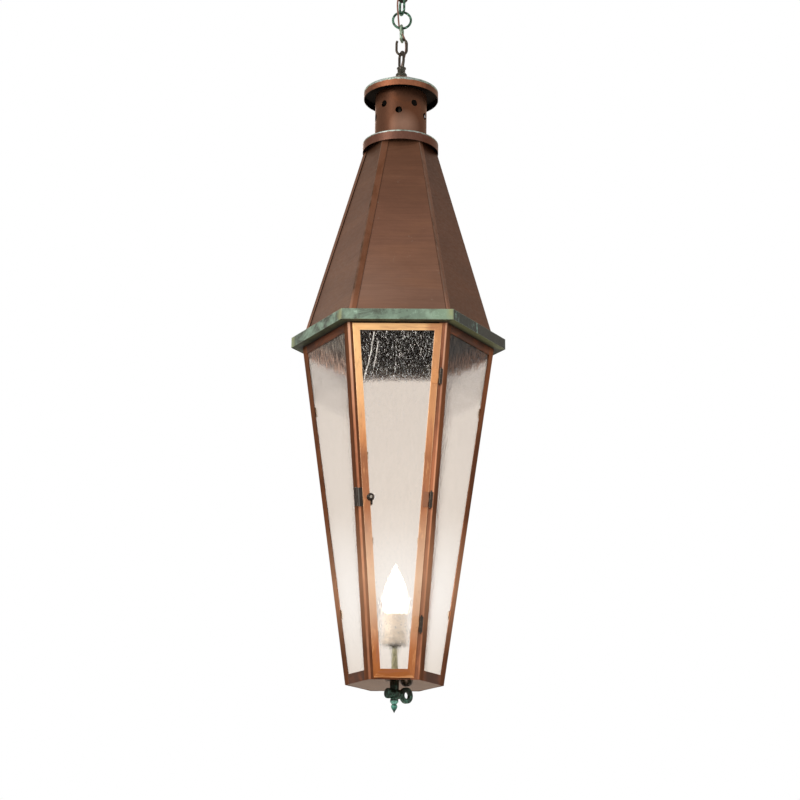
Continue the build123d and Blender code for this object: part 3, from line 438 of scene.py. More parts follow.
dress(
    ["middle_link"],
    metal(
        "PaleBronze", rgb(96, 112, 92), spread=0.4, scale=90, crust=rgb(170, 190, 168),
        crust_share=0.5, crust_scale=200, edge=rgb(200, 205, 185), edge_radius=0.0009,
        edge_share=0.5,
    ),
)
LOOP_TONES = {-0.200: rgb(52, 50, 42), -0.190: rgb(44, 40, 34), -0.184: rgb(52, 46, 40)}
dress(
    ["lantern_loop"],
    metal(
        "LoopBronze", LOOP_TONES, spread=0.45, scale=70, crust=rgb(158, 166, 152),
        crust_share=0.2, crust_scale=260, edge=rgb(196, 190, 176), edge_radius=0.001,
        rough=(0.24, 0.42),
    ),
)


KEEPER_LEAN = 0.07                # how far the barrel leans with the post, per metre


def painted_latch_highlights(t, colour, grain):
    """A painted highlight makes the barrel greyer down one side; another sits on the knob's face.
    """
    low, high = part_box("latch_keeper")
    middle = (low.x + high.x) / 2
    x, _, z = t.axes()
    lean = t.times(t.plus(z, -(low.z + high.z) / 2), KEEPER_LEAN)
    # a painted highlight down one side of the barrel
    band = t.between(t.plus(x, lean), middle - 0.0038, middle - 0.0012, 0.001)
    colour = t.mix(t.times(band, 0.6), colour, rgb(140, 134, 126))
    low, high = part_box("latch_knob")
    # a painted highlight on the knob's face, low and to the right
    spot = ((low.x + high.x) / 2 + 0.001, low.y, (low.z + high.z) / 2 - 0.001)
    knob_highlight = t.near(spot, 0.001, 0.0026)
    return t.mix(t.times(knob_highlight, 0.9), colour, rgb(226, 214, 200))


dress(
    ["latch_keeper", "latch_knob", "latch_escutcheon", "latch_tongue", "hinge_pins"],
    metal(
        "LatchBronze", rgb(56, 49, 44), spread=0.35, scale=70, edge=rgb(176, 166, 152),
        edge_radius=0.0006, edge_share=0.5, rough=(0.12, 0.24), shine=0.9, finish=painted_latch_highlights,
    ),
)


KNUCKLE = (0.0031, 0.0037)        # off the pin's line: the knuckles' end, the leaf's start


def leaf_of(tones):
    """A hinge's knuckles are dark bronze; its leaf is coppered like what it lies on."""
    hinge = joints["door_hinge"]

    def finish(t, colour, grain):
        off = t.off_line(tuple(hinge["pos_m"]), tuple(hinge["axis"]))
        leaf = t.mix(1.0, tone_by_height(t, tones), t.span(grain, 0.3, 0.7, 0.9, 1.1), "MULTIPLY")
        return t.mix(t.span(off, *KNUCKLE), colour, leaf)

    return finish


# by height, like the post and the door's stile beside them, with the door's painted light beside
# the bulb on the door's leaves
LEAF_TONES = {
    "hinge_post_leaves": {-1.2: rgb(146, 94, 70), -0.75: rgb(152, 98, 72)},
    "hinge_door_leaves": {
        -1.19: rgb(196, 138, 98), -1.15: rgb(214, 166, 128), -1.04: rgb(148, 100, 74),
        -0.90: rgb(148, 100, 74), -0.81: rgb(208, 144, 94), -0.75: rgb(216, 152, 102),
    },
}
for name, tones in LEAF_TONES.items():
    dress(
        [name],
        metal(
            titled(name), rgb(50, 44, 38), spread=0.35, scale=80,
            edge=rgb(150, 142, 130), edge_radius=0.0005, edge_share=0.4, rough=(0.24, 0.4),
            finish=leaf_of(tones),
        ),
    )

COCK = rgb(34, 46, 38)
COCK_UNDER_SHADE = (0.008, 0.02)        # how far below the base the painted shade ends, and green is full
COCK_DISC = (-0.008, -0.014)      # along X: where brown starts towards the disc, and is full


def cock_finish(t, colour, grain):
    """Painted shade in dark brown instead of green close under the base, and the same brown at
    the disc's end.
    """
    x, _, z = t.axes()
    full_shade, all_green = COCK_UNDER_SHADE
    upper = t.span(z, plate_low.z - all_green, plate_low.z - full_shade, 0, 0.7)
    disc = t.span(x, *COCK_DISC, 0, 0.6)
    return t.mix(t.math("MAXIMUM", upper, disc), colour, rgb(26, 21, 17))


dress(
    ["cock_body", "cock_disc", "cock_key"],
    metal(
        "CockBronze", COCK, spread=0.5, scale=110, crust=rgb(88, 132, 112), crust_share=0.42,
        crust_scale=260, edge=rgb(128, 158, 138), edge_radius=0.0008, edge_share=0.35,
        rough=(0.22, 0.42), shine=0.75, finish=cock_finish,
    ),
)
# heights from the tip up: the acorn, a groove and the collars; the palest collar band is patina
# with a painted highlight
FINIAL_TONES = {
    -1.3024: rgb(20, 30, 26),
    -1.2985: rgb(34, 58, 50),
    -1.2955: rgb(66, 120, 106),
    -1.2905: rgb(92, 156, 138),
    -1.2890: rgb(40, 62, 54),
    -1.2872: rgb(122, 180, 162),
    -1.2840: rgb(90, 138, 122),
    -1.2825: COCK,
}
dress(
    ["finial"],
    metal(
        "FinialBronze", FINIAL_TONES, spread=0.35, scale=120, crust=rgb(30, 46, 40),
        crust_share=0.3, crust_scale=240, rough=(0.26, 0.46), shine=0.6,
    ),
)


# ---- copper sheet ------------------------------------------------------------------
ROOF_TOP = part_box("roof_panel_1")[1].z
ROOF_LOW = band_high.z
SEAM_TAN = math.tan(FACE_TURN / 2)      # past it a panel is bent round its corner
ROOF_DARK = (0.004, -0.085, -0.44)      # a darker place half way up the front panel
ROOF_RUBBED = (-0.06, -0.12, -0.64)     # a rubbed one near its lower left corner
# painted light and shade on each roof panel, by how it faces the lamps, the door's side first,
# then towards +X
PANEL_LIGHT_AND_SHADE = (
    (1.0, 1.0, 1.0), (0.53, 0.38, 0.25), (0.72, 0.66, 0.60), (0.90, 0.86, 0.84),
    (0.78, 0.74, 0.70), (0.80, 0.85, 0.88),
)


def roof_finish(index):
    """Shades one panel and colours the strip that it bends round its corner."""
    def finish(t, colour, grain):
        if index == 0:
            dark = t.near(ROOF_DARK, 0.02, 0.1)
            rubbed = t.near(ROOF_RUBBED, 0.01, 0.09)
            colour = t.mix(t.times(dark, 0.3), colour, rgb(82, 54, 42))
            colour = t.mix(t.times(rubbed, 0.35), colour, rgb(142, 110, 94))
        # brushed from side to side, with painted shade towards the neck under the flange, and
        # painted light and shade panel by panel
        brushed = t.noise(30, 5, 0.7, 0.2, t.stretch((0.35, 0.35, 9)))
        top_shade = t.span(t.height(), ROOF_TOP - 0.16, ROOF_TOP, 1, 0.9 if index == 0 else 0.75)
        shade = t.times(top_shade, t.span(brushed, 0.3, 0.7, 0.9, 1.1))
        colour = t.mix(1.0, colour, shade, "MULTIPLY")
        colour = t.mix(1.0, colour, PANEL_LIGHT_AND_SHADE[index] + (1,), "MULTIPLY")
        # the bent strip: coppery, brighter at its foot, rusty along its free edge
        turned = t.stretch((1, 1, 1), (0, 0, -FACE_TURN * index))
        x, y, _ = t.axes(turned)
        side = t.math("DIVIDE", t.math("ABSOLUTE", x), t.times(y, -1))
        strip = t.span(side, SEAM_TAN + 0.003, SEAM_TAN + 0.006)
        rub = t.noise(40, 5, 0.7, 0.5, t.stretch((1, 1, 0.3)))
        copper = t.ramp(
            rub, [(0.4, rgb(76, 54, 40)), (0.52, rgb(108, 78, 62)), (0.66, rgb(98, 80, 68))]
        )
        low_end = t.times(t.span(t.height(), ROOF_LOW + 0.045, ROOF_LOW + 0.01), 0.6)
        copper = t.mix(low_end, copper, rgb(172, 120, 94))
        rust = t.span(side, SEAM_TAN + 0.03, SEAM_TAN + 0.045)
        copper = t.mix(t.times(rust, 0.6), copper, rgb(104, 58, 32))
        # the front panel is rubbed pale along its left corner
        if index == 0:
            beside = t.between(side, SEAM_TAN - 0.045, SEAM_TAN, 0.006)
            beside = t.times(beside, t.span(x, 0.01, -0.01), t.span(rub, 0.35, 0.6, 0.25, 0.6))
            colour = t.mix(beside, colour, rgb(150, 114, 100))
        colour = t.mix(strip, colour, copper)
        # a painted shadow along the edge of the bent strip
        lap_shadow = t.between(side, SEAM_TAN - 0.006, SEAM_TAN + 0.002, 0.003)
        colour = t.mix(t.times(lap_shadow, 0.75), colour, rgb(44, 28, 22))
        # painted shade on the inner and lower faces
        return painted_shade_inside(t, colour, grain)

    return finish


for index in range(6):
    dress(
        [f"roof_panel_{index + 1}"],
        metal(
            f"RoofCopper{index + 1}",
            {
                ROOF_LOW: rgb(112, 82, 67),
                ROOF_LOW + 0.15: rgb(108, 74, 58),
                ROOF_TOP: rgb(98, 62, 42),
            },
            patch=rgb(122, 84, 62), patch_share=0.35, patch_scale=9, spread=0.14, scale=16,
            stretch=(0.5, 0.5, 1.6), crust=rgb(128, 112, 98), crust_share=0.1,
            edge=rgb(176, 112, 80), edge_share=0.5, rough=(0.4, 0.58), shine=0.6,
            graze=DULL_GRAZE, finish=roof_finish(index),
        ),
    )


FRAY = 0.005                      # how much the crests' lower edges waver
RIM_LIT_FRONT = (FRONT_TURN - 0.75, FRONT_TURN + 0.6)       # where the rims have their painted lit front tone; the sides are painted in shade


def rim_finish(name, rim_height, crest_width, front, shaded_sides):
    """A rim's coppery face, painted lit in front and shaded at the sides, with a thin verdigris
    crest that has a painted highlight at the front; painted shade within and below.
    """
    low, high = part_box(name)
    top = low.z + rim_height

    def finish(t, colour, grain):
        z = t.height()
        frayed = t.plus(z, t.times(t.noise(110, 5, 0.7), FRAY), -FRAY / 2)
        facing = t.between(t.turn(), *RIM_LIT_FRONT, 0.3)
        # the rim's outer face, in its painted lit tone in front and its painted shaded tone at
        # the sides
        reach = t.span(t.radius(), high.x - 0.004, high.x - 0.002)
        outside = t.times(reach, t.span(t.outward(), 0, 0.3))
        rim = t.times(t.span(z, top + 0.0004, top - 0.0012), outside)
        mottle = t.noise(30, 5, 0.65, 0.8, t.stretch((1, 1, 0.5)))
        uneven = t.span(t.plus(facing, t.times(t.plus(mottle, -0.5), 2.4)), 0.1, 0.9)
        grained = t.span(grain, 0.3, 0.7, 0.8, 1.2)
        face = t.mix(1.0, t.mix(uneven, shaded_sides, front), grained, "MULTIPLY")
        colour = t.mix(rim, colour, face)
        # the crest above it, of pale and dark flakes
        crest = t.times(
            t.span(frayed, top - crest_width - 0.0006, top - crest_width + 0.0006),
            t.span(t.radius(), high.x - 0.006, high.x - 0.003),
        )
        flakes = t.plus(t.times(grain, 0.6), t.times(t.noise(60, 4, 0.6), 0.4))
        green = t.ramp(
            flakes,
            [(0.38, rgb(70, 80, 72)), (0.48, rgb(116, 130, 118)), (0.58, rgb(174, 192, 178))],
        )
        # a painted highlight, near white, on the crest at the front
        pale = t.times(facing, t.span(t.noise(24, 3), 0.4, 0.6), 0.7)
        green = t.mix(pale, green, rgb(192, 198, 196))
        colour = t.mix(crest, colour, green)
        return painted_shade_inside(t, colour, grain)

    return finish


# how tall the rim is, how wide its crest, its painted lit tone in front and its painted shaded
# tone at the sides
for name, rim_height, crest_width, front, shaded_sides in (
    ("cap", 0.014, 0.0036, rgb(138, 86, 60), rgb(88, 52, 34)),
    ("neck_flange", 0.0168, 0.0024, rgb(98, 66, 54), rgb(84, 48, 33)),
):
    dress(
        [name],
        metal(
            titled(name) + "Copper", rgb(96, 66, 50), patch=rgb(120, 80, 58),
            crust=rgb(132, 140, 118), crust_share=0.2, rough=(0.32, 0.5), graze=DULL_GRAZE,
            finish=rim_finish(name, rim_height, crest_width, front, shaded_sides),
        ),
    )


def neck_finish(t, colour, grain):
    """A painted highlight low on the front, and painted shade inside."""
    low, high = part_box("neck_tube")
    # a painted highlight low on the front
    spot = t.near((0.008, low.y, low.z + 0.032), 0.006, 0.03)
    colour = t.mix(t.times(spot, 0.75), colour, rgb(146, 112, 94))
    return painted_shade_inside(t, colour, grain)


dress(
    ["neck_tube"],
    metal(
        "NeckCopper", rgb(82, 52, 37), patch=rgb(102, 60, 38), scale=18, stretch=(1, 1, 0.6),
        spread=0.14, edge=rgb(150, 96, 66), edge_radius=0.0008, rough=(0.34, 0.5), shine=0.75,
        graze=(0.7, 0.52, 0.42, 1), finish=neck_finish,
    ),
)


SOFFIT_SHADE = (0.147, 0.138)     # from the axis: where the soffit darkens towards the body


def band_finish(t, colour, grain):
    """Verdigris, one face painted dark as shade with pale streaks, yellowed corners, painted
    highlights along the edges and an olive soffit.
    """
    x = t.axes()["X"]
    # darker blotches, more of them on the left
    blotch = t.noise(30, 6, 0.7, 0.6, t.stretch((1, 1, 1.6)))
    uneven = t.plus(blotch, t.span(x, -0.09, 0.09, -0.11, 0.05))
    colour = t.mix(t.span(uneven, 0.48, 0.3), colour, rgb(62, 64, 56))
    front_right = t.times(t.span(x, 0.03, 0.08), t.on_face(0), 0.35)
    colour = t.mix(front_right, colour, rgb(152, 178, 146))
    # the face right of the door, painted dark as shade, with pale streaks and one pale drip
    streaks = t.noise(70, 6, 0.7, 1.5, t.stretch((1, 1, 0.5)))
    shaded_face = t.ramp(
        streaks, [(0.5, rgb(36, 35, 29)), (0.6, rgb(56, 60, 52)), (0.68, rgb(112, 146, 134))]
    )
    across = t.along_face(1)
    shaded_face = t.mix(t.span(across, -0.012, -0.006, 0, 0.7), shaded_face, rgb(44, 36, 28))
    wavy = t.plus(across, t.times(t.noise(90, 4, 0.6), 0.008))
    shaded_face = t.mix(t.between(wavy, -0.0068, -0.0052, 0.0006), shaded_face, rgb(140, 172, 158))
    colour = t.mix(t.times(t.on_face(1), 0.94), colour, shaded_face)
    # yellowed corners: at the door's right, on the face left of the door and at the back
    yellowed = t.math("MAXIMUM", t.on_face(5), t.times(t.on_face(0), t.span(x, 0, 0.02)))
    yellowed = t.math("MAXIMUM", yellowed, t.on_face(3))
    corner = t.plus(t.off_corner(), t.times(t.plus(blotch, -0.5), 0.04))
    yellowed = t.times(yellowed, t.span(corner, 0.012, 0.003), 0.75)
    colour = t.mix(yellowed, colour, rgb(146, 150, 108))
    # painted highlights along the band's edges
    edge_highlight = t.times(t.edges(0.001), t.span(grain, 0.4, 0.62, 0.15, 0.9))
    colour = t.mix(edge_highlight, colour, rgb(176, 190, 160))
    # the underside
    soffit = t.ramp(blotch, [(0.4, rgb(44, 48, 34)), (0.6, rgb(72, 78, 54))])
    soffit = t.mix(t.times(t.on_face(1), 0.6), soffit, rgb(128, 130, 90))
    soffit = t.mix(t.span(t.apothem(), *SOFFIT_SHADE), soffit, rgb(12, 11, 8))
    return t.mix(t.downward(), colour, soffit)


dress(
    ["eave_fascia"],
    metal(
        "BandVerdigris", rgb(108, 127, 111), patch=rgb(134, 156, 138), patch_share=0.8,
        spread=0.2, scale=34, crust=rgb(150, 176, 156), crust_share=0.25, crust_scale=120,
        edge_radius=0.0014, rough=(0.5, 0.7), shine=0.25, finish=band_finish,
    ),
)
dress(
    ["eave_ledge"],
    metal("LedgeCopper", rgb(34, 26, 20), shine=0.4, rough=(0.5, 0.7)),
)


GLOW_REACH = 0.11                 # how far above and below the bulb's middle copper is paler


def lamp_glow(t, colour, share, tone):
    """Copper beside the lit bulb is paler."""
    level = t.math("ABSOLUTE", t.math("SUBTRACT", t.height(), BULB[2]))
    return t.mix(t.times(t.span(level, GLOW_REACH, 0.0), share), colour, tone)


POST_TONES = {plate_low.z: rgb(82, 50, 34), -0.95: rgb(86, 50, 31), band_low.z: rgb(84, 52, 36)}
POST_TOP = (-0.86, -0.76)         # the bright corner line turns paler towards the eave
POST_FOOT = (-1.19, -1.08)        # and fades towards the base
LINE_WIDTH = (0.0031, 0.0020)     # of the bright corner line: latch side, hinge side


def post_finish(t, colour, grain):
    """Beside the door a bright line runs along the corners; the hinge side is coppery all over.
    """
    x = t.axes()["X"]
    front = t.times(t.on_face(0), t.span(t.outward(), 0.1, 0.4))
    hinge_side = t.span(x, -0.01, 0.01)
    # the coppery hinge side
    streaks = t.noise(22, 5, 0.65, 0, t.stretch((1, 1, 0.25)))
    strip = t.ramp(
        streaks, [(0.36, rgb(112, 68, 48)), (0.5, rgb(146, 94, 70)), (0.64, rgb(192, 122, 86))]
    )
    colour = t.mix(t.times(front, hinge_side, 0.85), colour, strip)
    # a bright line along the corners
    off = t.plus(t.off_corner(), t.times(t.plus(streaks, -0.5), 0.002))
    width = t.span(hinge_side, 0, 1, *LINE_WIDTH)
    line = t.span(t.math("SUBTRACT", off, width), 0.0006, -0.0006)
    bright = t.ramp(
        streaks, [(0.36, rgb(150, 90, 64)), (0.5, rgb(204, 134, 98)), (0.62, rgb(232, 166, 128))]
    )
    bright = t.mix(t.span(t.height(), *POST_TOP, 0, 0.5), bright, rgb(240, 196, 166))
    share = t.span(t.height(), *POST_FOOT, 0.45, 0.9)
    colour = t.mix(t.times(line, front, share), colour, bright)
    return lamp_glow(t, colour, 0.45, rgb(206, 156, 122))


post_copper = metal(
    "PostCopper", POST_TONES, patch=rgb(120, 72, 46), patch_share=0.7, patch_scale=30,
    spread=0.25, scale=22, stretch=(1, 1, 0.14), crust=rgb(92, 70, 58), crust_share=0.12,
    rough=(0.28, 0.46), edge_radius=0.0011, shine=0.8, graze=(0.66, 0.46, 0.36, 1),
    finish=post_finish,
)
dress([f"corner_post_{i + 1}" for i in range(6)] + ["lead_clips"], post_copper)
dress(
    ["door_clips", "pane_clips"],
    metal("TinnedCopper", rgb(206, 192, 174), scale=60, rough=(0.35, 0.5), shine=0.6),
)


RAIL_EDGE = -0.7262               # lower edge of the top rails


def rail_finish(t, colour, grain):
    """A bright line along the top rails' lower edges."""
    rim = t.span(t.math("ABSOLUTE", t.plus(t.height(), -RAIL_EDGE)), 0.0016, 0.0006)
    return t.mix(t.times(rim, 0.8), colour, rgb(200, 136, 100))


for name, finish in (("top_rails", rail_finish), ("bottom_rails", None)):
    dress(
        [name],
        metal(
            titled(name) + "Copper", rgb(76, 46, 33), patch=rgb(120, 66, 38),
            patch_share=0.7, patch_scale=26, spread=0.3, scale=26, stretch=(0.5, 0.5, 1),
            edge=rgb(160, 98, 66), edge_radius=0.0009, edge_share=0.4, rough=(0.3, 0.5),
            shine=0.75, finish=finish,
        ),
    )


# the four outer corners of the door's frame
door_corners = [
    max(
        (nodes["door_rails"].matrix_world @ v.co for v in nodes["door_rails"].data.vertices),
        key=lambda v: across * v.x + 4 * up * v.z,
    )
    for across in (-1, 1)
    for up in (-1, 1)
]


HINGE_SIDE = (FRONT_TURN + 0.3, FRONT_TURN + 0.37)      # the door's hinge stile starts here
DOOR_TOP = (-0.87, -0.8)          # the hinge side is browner towards the eave
DOOR_FOOT = (-1.22, -1.17)        # the edges' wear and painted highlight reach down to here


def door_finish(grain_way):
    """Lighter on the latch side, paler beside the bulb as painted light, with dark and pale
    streaks and worn edges carrying a painted highlight.
    """
    def finish(t, colour, grain):
        z = t.height()
        hinge_side = t.span(t.turn(), *HINGE_SIDE)
        hinge_side = t.times(hinge_side, t.span(z, *DOOR_TOP, 0.35, 0.75))
        colour = t.mix(hinge_side, colour, rgb(186, 122, 82))
        streaks = t.noise(90, 5, 0.65, 0.3, t.stretch(grain_way))
        colour = t.mix(t.span(streaks, 0.54, 0.68, 0, 0.5), colour, rgb(152, 96, 78))
        colour = t.mix(t.span(streaks, 0.44, 0.34, 0, 0.5), colour, rgb(240, 176, 120))
        # worn edges with a painted highlight along them, but not at the door's four outer corners
        worn = t.edges(0.0016)
        for corner in door_corners:
            worn = t.times(worn, t.math("SUBTRACT", 1.0, t.near(corner, 0.014, 0.022)))
        worn = t.times(worn, t.span(grain, 0.3, 0.6, 0.35, 1), t.span(z, *DOOR_FOOT, 0, 0.75))
        colour = t.mix(worn, colour, rgb(250, 206, 162))
        return lamp_glow(t, colour, 0.78, rgb(242, 206, 174))

    return finish


# by height: painted pink light beside the bulb, brown half way up, pale gold towards the eave
DOOR_TONES = {
    -1.2500: rgb(164, 96, 50),
    -1.2000: rgb(190, 118, 72),
    -1.1500: rgb(198, 144, 110),
    -1.0000: rgb(176, 114, 78),
    -0.9150: rgb(160, 104, 72),
    -0.8900: rgb(206, 138, 90),
    -0.8000: rgb(238, 184, 130),
    -0.7150: rgb(240, 188, 130),
}
for name, grain_way in (("door_stiles", (1, 1, 0.1)), ("door_rails", (0.1, 1, 1))):
    dress(
        [name],
        metal(
            titled(name) + "Copper", DOOR_TONES, spread=0.16, scale=60,
            stretch=grain_way, rough=(0.26, 0.42), shine=0.85, dents=0.15,
            graze=(0.95, 0.82, 0.7, 1), finish=door_finish(grain_way),
        ),
    )

dress(
    ["bottom_plate"],
    metal(
        "BaseCopper", rgb(110, 86, 70), patch=rgb(144, 116, 96), patch_scale=24, spread=0.22,
        scale=24, rough=(0.12, 0.2), shine=0.95, dents=0.08, edge=rgb(96, 66, 50),
        graze=(0.48, 0.35, 0.26, 1),
    ),
)


# ---- glass -------------------------------------------------------------------------
# two long pulled threads in the door's pane: (x, z) from top to bottom
THREADS = [
    [(-0.0365, -0.715), (-0.0422, -0.752), (-0.0507, -0.7845), (-0.0521, -0.796)],
    [(-0.0297, -0.7296), (-0.0336, -0.754), (-0.0365, -0.7715)],
]


def thread_mask(t):
    """1 along the pane's pulled threads, which thin out here and there."""
    x, _, z = t.axes()
    wander = t.times(t.plus(t.noise(120, 3), -0.5), 0.004)
    beads = t.span(t.noise(260, 3, 0.6), 0.4, 0.52, 0.2, 1)
    mask = None
    for thread in THREADS:
        for (x0, z0), (x1, z1) in zip(thread, thread[1:]):
            line = t.span(z, z0, z1, x0, x1)
            off = t.math("ABSOLUTE", t.math("SUBTRACT", t.plus(x, wander), line))
            run = t.times(t.span(off, 0.0011, 0.0003), t.between(z, z1, z0, 0.0002), beads)
            mask = t.math("MAXIMUM", mask, run) if mask else run
    return mask


# the zones of a pane, each from its weak end to its strong one
RIPPLED = (-0.802, -0.784)        # ripples and seeds
FOOT_TO_TOP = (-1.1, -0.8)        # from the lower tint to the upper one
LOWER_TINT = (0.885, 0.83, 0.775, 1)
UPPER_TINT = (0.85, 0.795, 0.745, 1)
BY_SOCKET = (0, -0.068, -1.17)    # ripples show again in front of the socket
SHADE_BAND_EDGE = (-0.850, -0.840)      # the painted shade band's lower edge, as its height where X is 0
SHADE_BAND_GREY = (-0.828, -0.812)      # its greyer upper part, the same way
SHADE_BAND_SLOPE = 0.85                 # how much both rise per metre outwards
SHADE_BAND_FRAY = 0.06                  # how much both waver
STREAKS_OUT = (0.09, 0.074)       # more brown streaks beside the door's post, across
STREAKS_UP = (-0.93, -0.79)       # and in height


def seeded_glass(name, seeding=1.0, shade_band=None, threads=False):
    """Pale beige rolled glass; its ripples and seeds are strongest near the top.

    A shade band is a brown band of painted shade under the eave, given as its tones: dark, warm
    and grey.
    """
    t = Tree(name)
    z = t.height()
    upper = t.span(z, *RIPPLED)
    # relief
    ripples = t.noise(1, 3, 0.55, 0.4, t.stretch((330, 330, 90)))
    waves = t.noise(1, 2, 0.5, 0.0, t.stretch((90, 90, 24)))
    seeds = t.noise(1, 2, 0.6, 0.8, t.stretch((760, 760, 420)))
    relief = t.plus(t.times(ripples, 0.6), t.times(waves, 1.0), t.times(seeds, 0.35))
    by_socket = t.near(BY_SOCKET, 0.035, 0.06)
    depth = 0.55 if shade_band else 1.0
    relief = t.times(relief, t.span(t.math("MAXIMUM", upper, by_socket), 0, 1, 0.2, depth))
    # seeds, which are paler and less clear
    thick = t.plus(t.times(seeds, 0.65), t.times(ripples, 0.35))
    dense = t.span(upper, 0, 1, 0.25 * seeding, seeding)
    dense = t.math("MAXIMUM", dense, t.times(by_socket, 0.6))
    specks = t.times(t.span(thick, 0.595, 0.615), dense)
    if threads:
        specks = t.math("MAXIMUM", specks, thread_mask(t))
    # tint, drawn out in faint upright lines, and whiter round the bulb as painted light
    lit = t.near(BULB, 0.075, 0.16)
    tint = t.ramp(t.span(z, *FOOT_TO_TOP), [(0, LOWER_TINT), (1, UPPER_TINT)])
    drawn = t.noise(1, 4, 0.6, 0.3, t.stretch((300, 300, 30)))
    tint = t.mix(1.0, tint, t.span(drawn, 0.35, 0.65, 0.975, 1.02), "MULTIPLY")
    tint = t.mix(lit, tint, (0.98, 0.95, 0.92, 1))
    tint = t.mix(specks, tint, (0.95, 0.92, 0.87, 1))
    clearness = t.span(specks, 0, 1, 1, 0.25)
    if shade_band:
        pulled = t.noise(1, 4, 0.6, 0.3, t.stretch((420, 420, 45)))
        outward = t.math("ABSOLUTE", t.axes()["X"])
        frayed = t.times(t.plus(pulled, -0.5), SHADE_BAND_FRAY)
        falling = t.plus(z, frayed, t.times(outward, -SHADE_BAND_SLOPE))
        brown = t.times(t.span(falling, *SHADE_BAND_EDGE), t.span(pulled, 0.35, 0.65, 0.5, 1), 0.6)
        beside = t.times(t.span(outward, *STREAKS_OUT), t.span(z, *STREAKS_UP))
        beside = t.times(beside, t.span(pulled, 0.58, 0.64), 0.5)
        brown = t.math("MAXIMUM", brown, beside)
        dark, warm, grey = shade_band
        band_tone = t.ramp(pulled, [(0.4, dark), (0.6, warm)])
        grey_band_tone = t.ramp(pulled, [(0.4, dark), (0.6, grey)])
        band_tone = t.mix(t.span(falling, *SHADE_BAND_GREY), band_tone, grey_band_tone)
        # the painted shade band over the tint
        tint = t.mix(t.span(brown, 0, 0.3), tint, band_tone)
        clearness = t.times(clearness, t.span(brown, 0, 1, 1, 0.3))
    # a faint glow right in front of the bulb, for the light that the pane scatters
    halo = t.near(BULB, 0.06, 0.082)
    glass = t.surface(
        tint,
        Roughness=0.03,
        IOR=1.2,
        Specular_IOR_Level=0.25,
        Transmission_Weight=clearness,
        Emission_Color=(1.0, 0.95, 0.88, 1),
        Emission_Strength=t.times(halo, halo, 0.15),
        Normal=t.bump(relief, 1.0, 0.0012),
    )
    # the lamps' light passes straight through, a little tinted
    clear = t.node("ShaderNodeBsdfTransparent")
    clear.inputs["Color"].default_value = (0.86, 0.82, 0.78, 1)
    both = t.node("ShaderNodeMixShader")
    t.feed(both.inputs[0], t.node("ShaderNodeLightPath").outputs["Is Shadow Ray"])
    t.feed(both.inputs[1], glass)
    t.feed(both.inputs[2], clear.outputs[0])
    return t.output(both.outputs[0])


# the painted shade band's tones on the left side pane and, darker, on the right one
SHADE_BAND_LEFT = (rgb(70, 56, 46), rgb(214, 180, 160), rgb(172, 160, 146))
SHADE_BAND_RIGHT = (rgb(40, 32, 24), rgb(168, 128, 104), rgb(112, 98, 84))
dress(["side_pane_5"], seeded_glass("LeftShadeBandGlass", seeding=0.3, shade_band=SHADE_BAND_LEFT))
dress(["side_pane_1"], seeded_glass("RightShadeBandGlass", seeding=0.3, shade_band=SHADE_BAND_RIGHT))
dress(["side_pane_2", "side_pane_3", "side_pane_4"], seeded_glass("SeededGlass", seeding=0.3))
dress(["door_pane"], seeded_glass("DoorGlass", threads=True))


# ---- lamp --------------------------------------------------------------------------
def porcelain():
    """Glazed and grimy, worst round the foot; a faint glow stands for the bulb's light."""
    t = Tree("Porcelain")
    low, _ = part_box("lamp_socket")
    specks = t.noise(300, 4, 0.65)
    stain = t.noise(60, 5, 0.6)
    colour = t.ramp(stain, [(0.3, rgb(240, 230, 214)), (0.7, rgb(255, 249, 238))])
    foot = t.span(t.plus(t.height(), t.times(stain, 0.03)), low.z + 0.034, low.z + 0.014)
    dirt = t.times(t.span(specks, 0.47, 0.56), t.plus(t.times(foot, 0.72), 0.14))
    colour = t.mix(dirt, colour, rgb(84, 76, 52))
    return t.output(
        t.surface(
            colour,
            Roughness=0.28,
            Coat_Weight=0.3,
            Emission_Color=colour,
            Emission_Strength=0.14,
            Normal=t.bump(stain, 0.1, 0.0004),
        )
    )


dress(["lamp_socket"], porcelain())
dress(
    ["lamp_stem"],
    metal(
        "LampPipe", rgb(176, 178, 146), spread=0.25, scale=80, crust=rgb(112, 120, 88),
        crust_share=0.4, crust_scale=240, shine=0.5,
    ),
)
dress(["bulb_base"], metal("BulbBrass", rgb(186, 154, 96), scale=60, shine=0.9))


def bulb_glow():
    """A frosted flame bulb that is lit: whitest in its middle, warmer towards the tip."""
    t = Tree("BulbGlow")
    warm = t.ramp(
        t.span(t.height(), bulb_low.z, bulb_high.z),
        [(0.0, rgb(255, 236, 206)), (0.35, rgb(255, 252, 244)), (1.0, rgb(255, 244, 224))],
    )
    frost = t.noise(300, 3, 0.6)
    return t.output(
        t.surface(
            rgb(250, 246, 238),
            Roughness=t.span(frost, 0.3, 0.7, 0.25, 0.4),
            Emission_Color=warm,
            Emission_Strength=8.0,
            Normal=t.bump(frost, 0.05, 0.0003),
        )
    )


dress(["bulb_glass"], bulb_glow())


# ---- cords -------------------------------------------------------------------------
BRAID_ROUND = 6.0                 # threads of one set round the cord
BRAID_ALONG = 260.0               # and along one metre of it


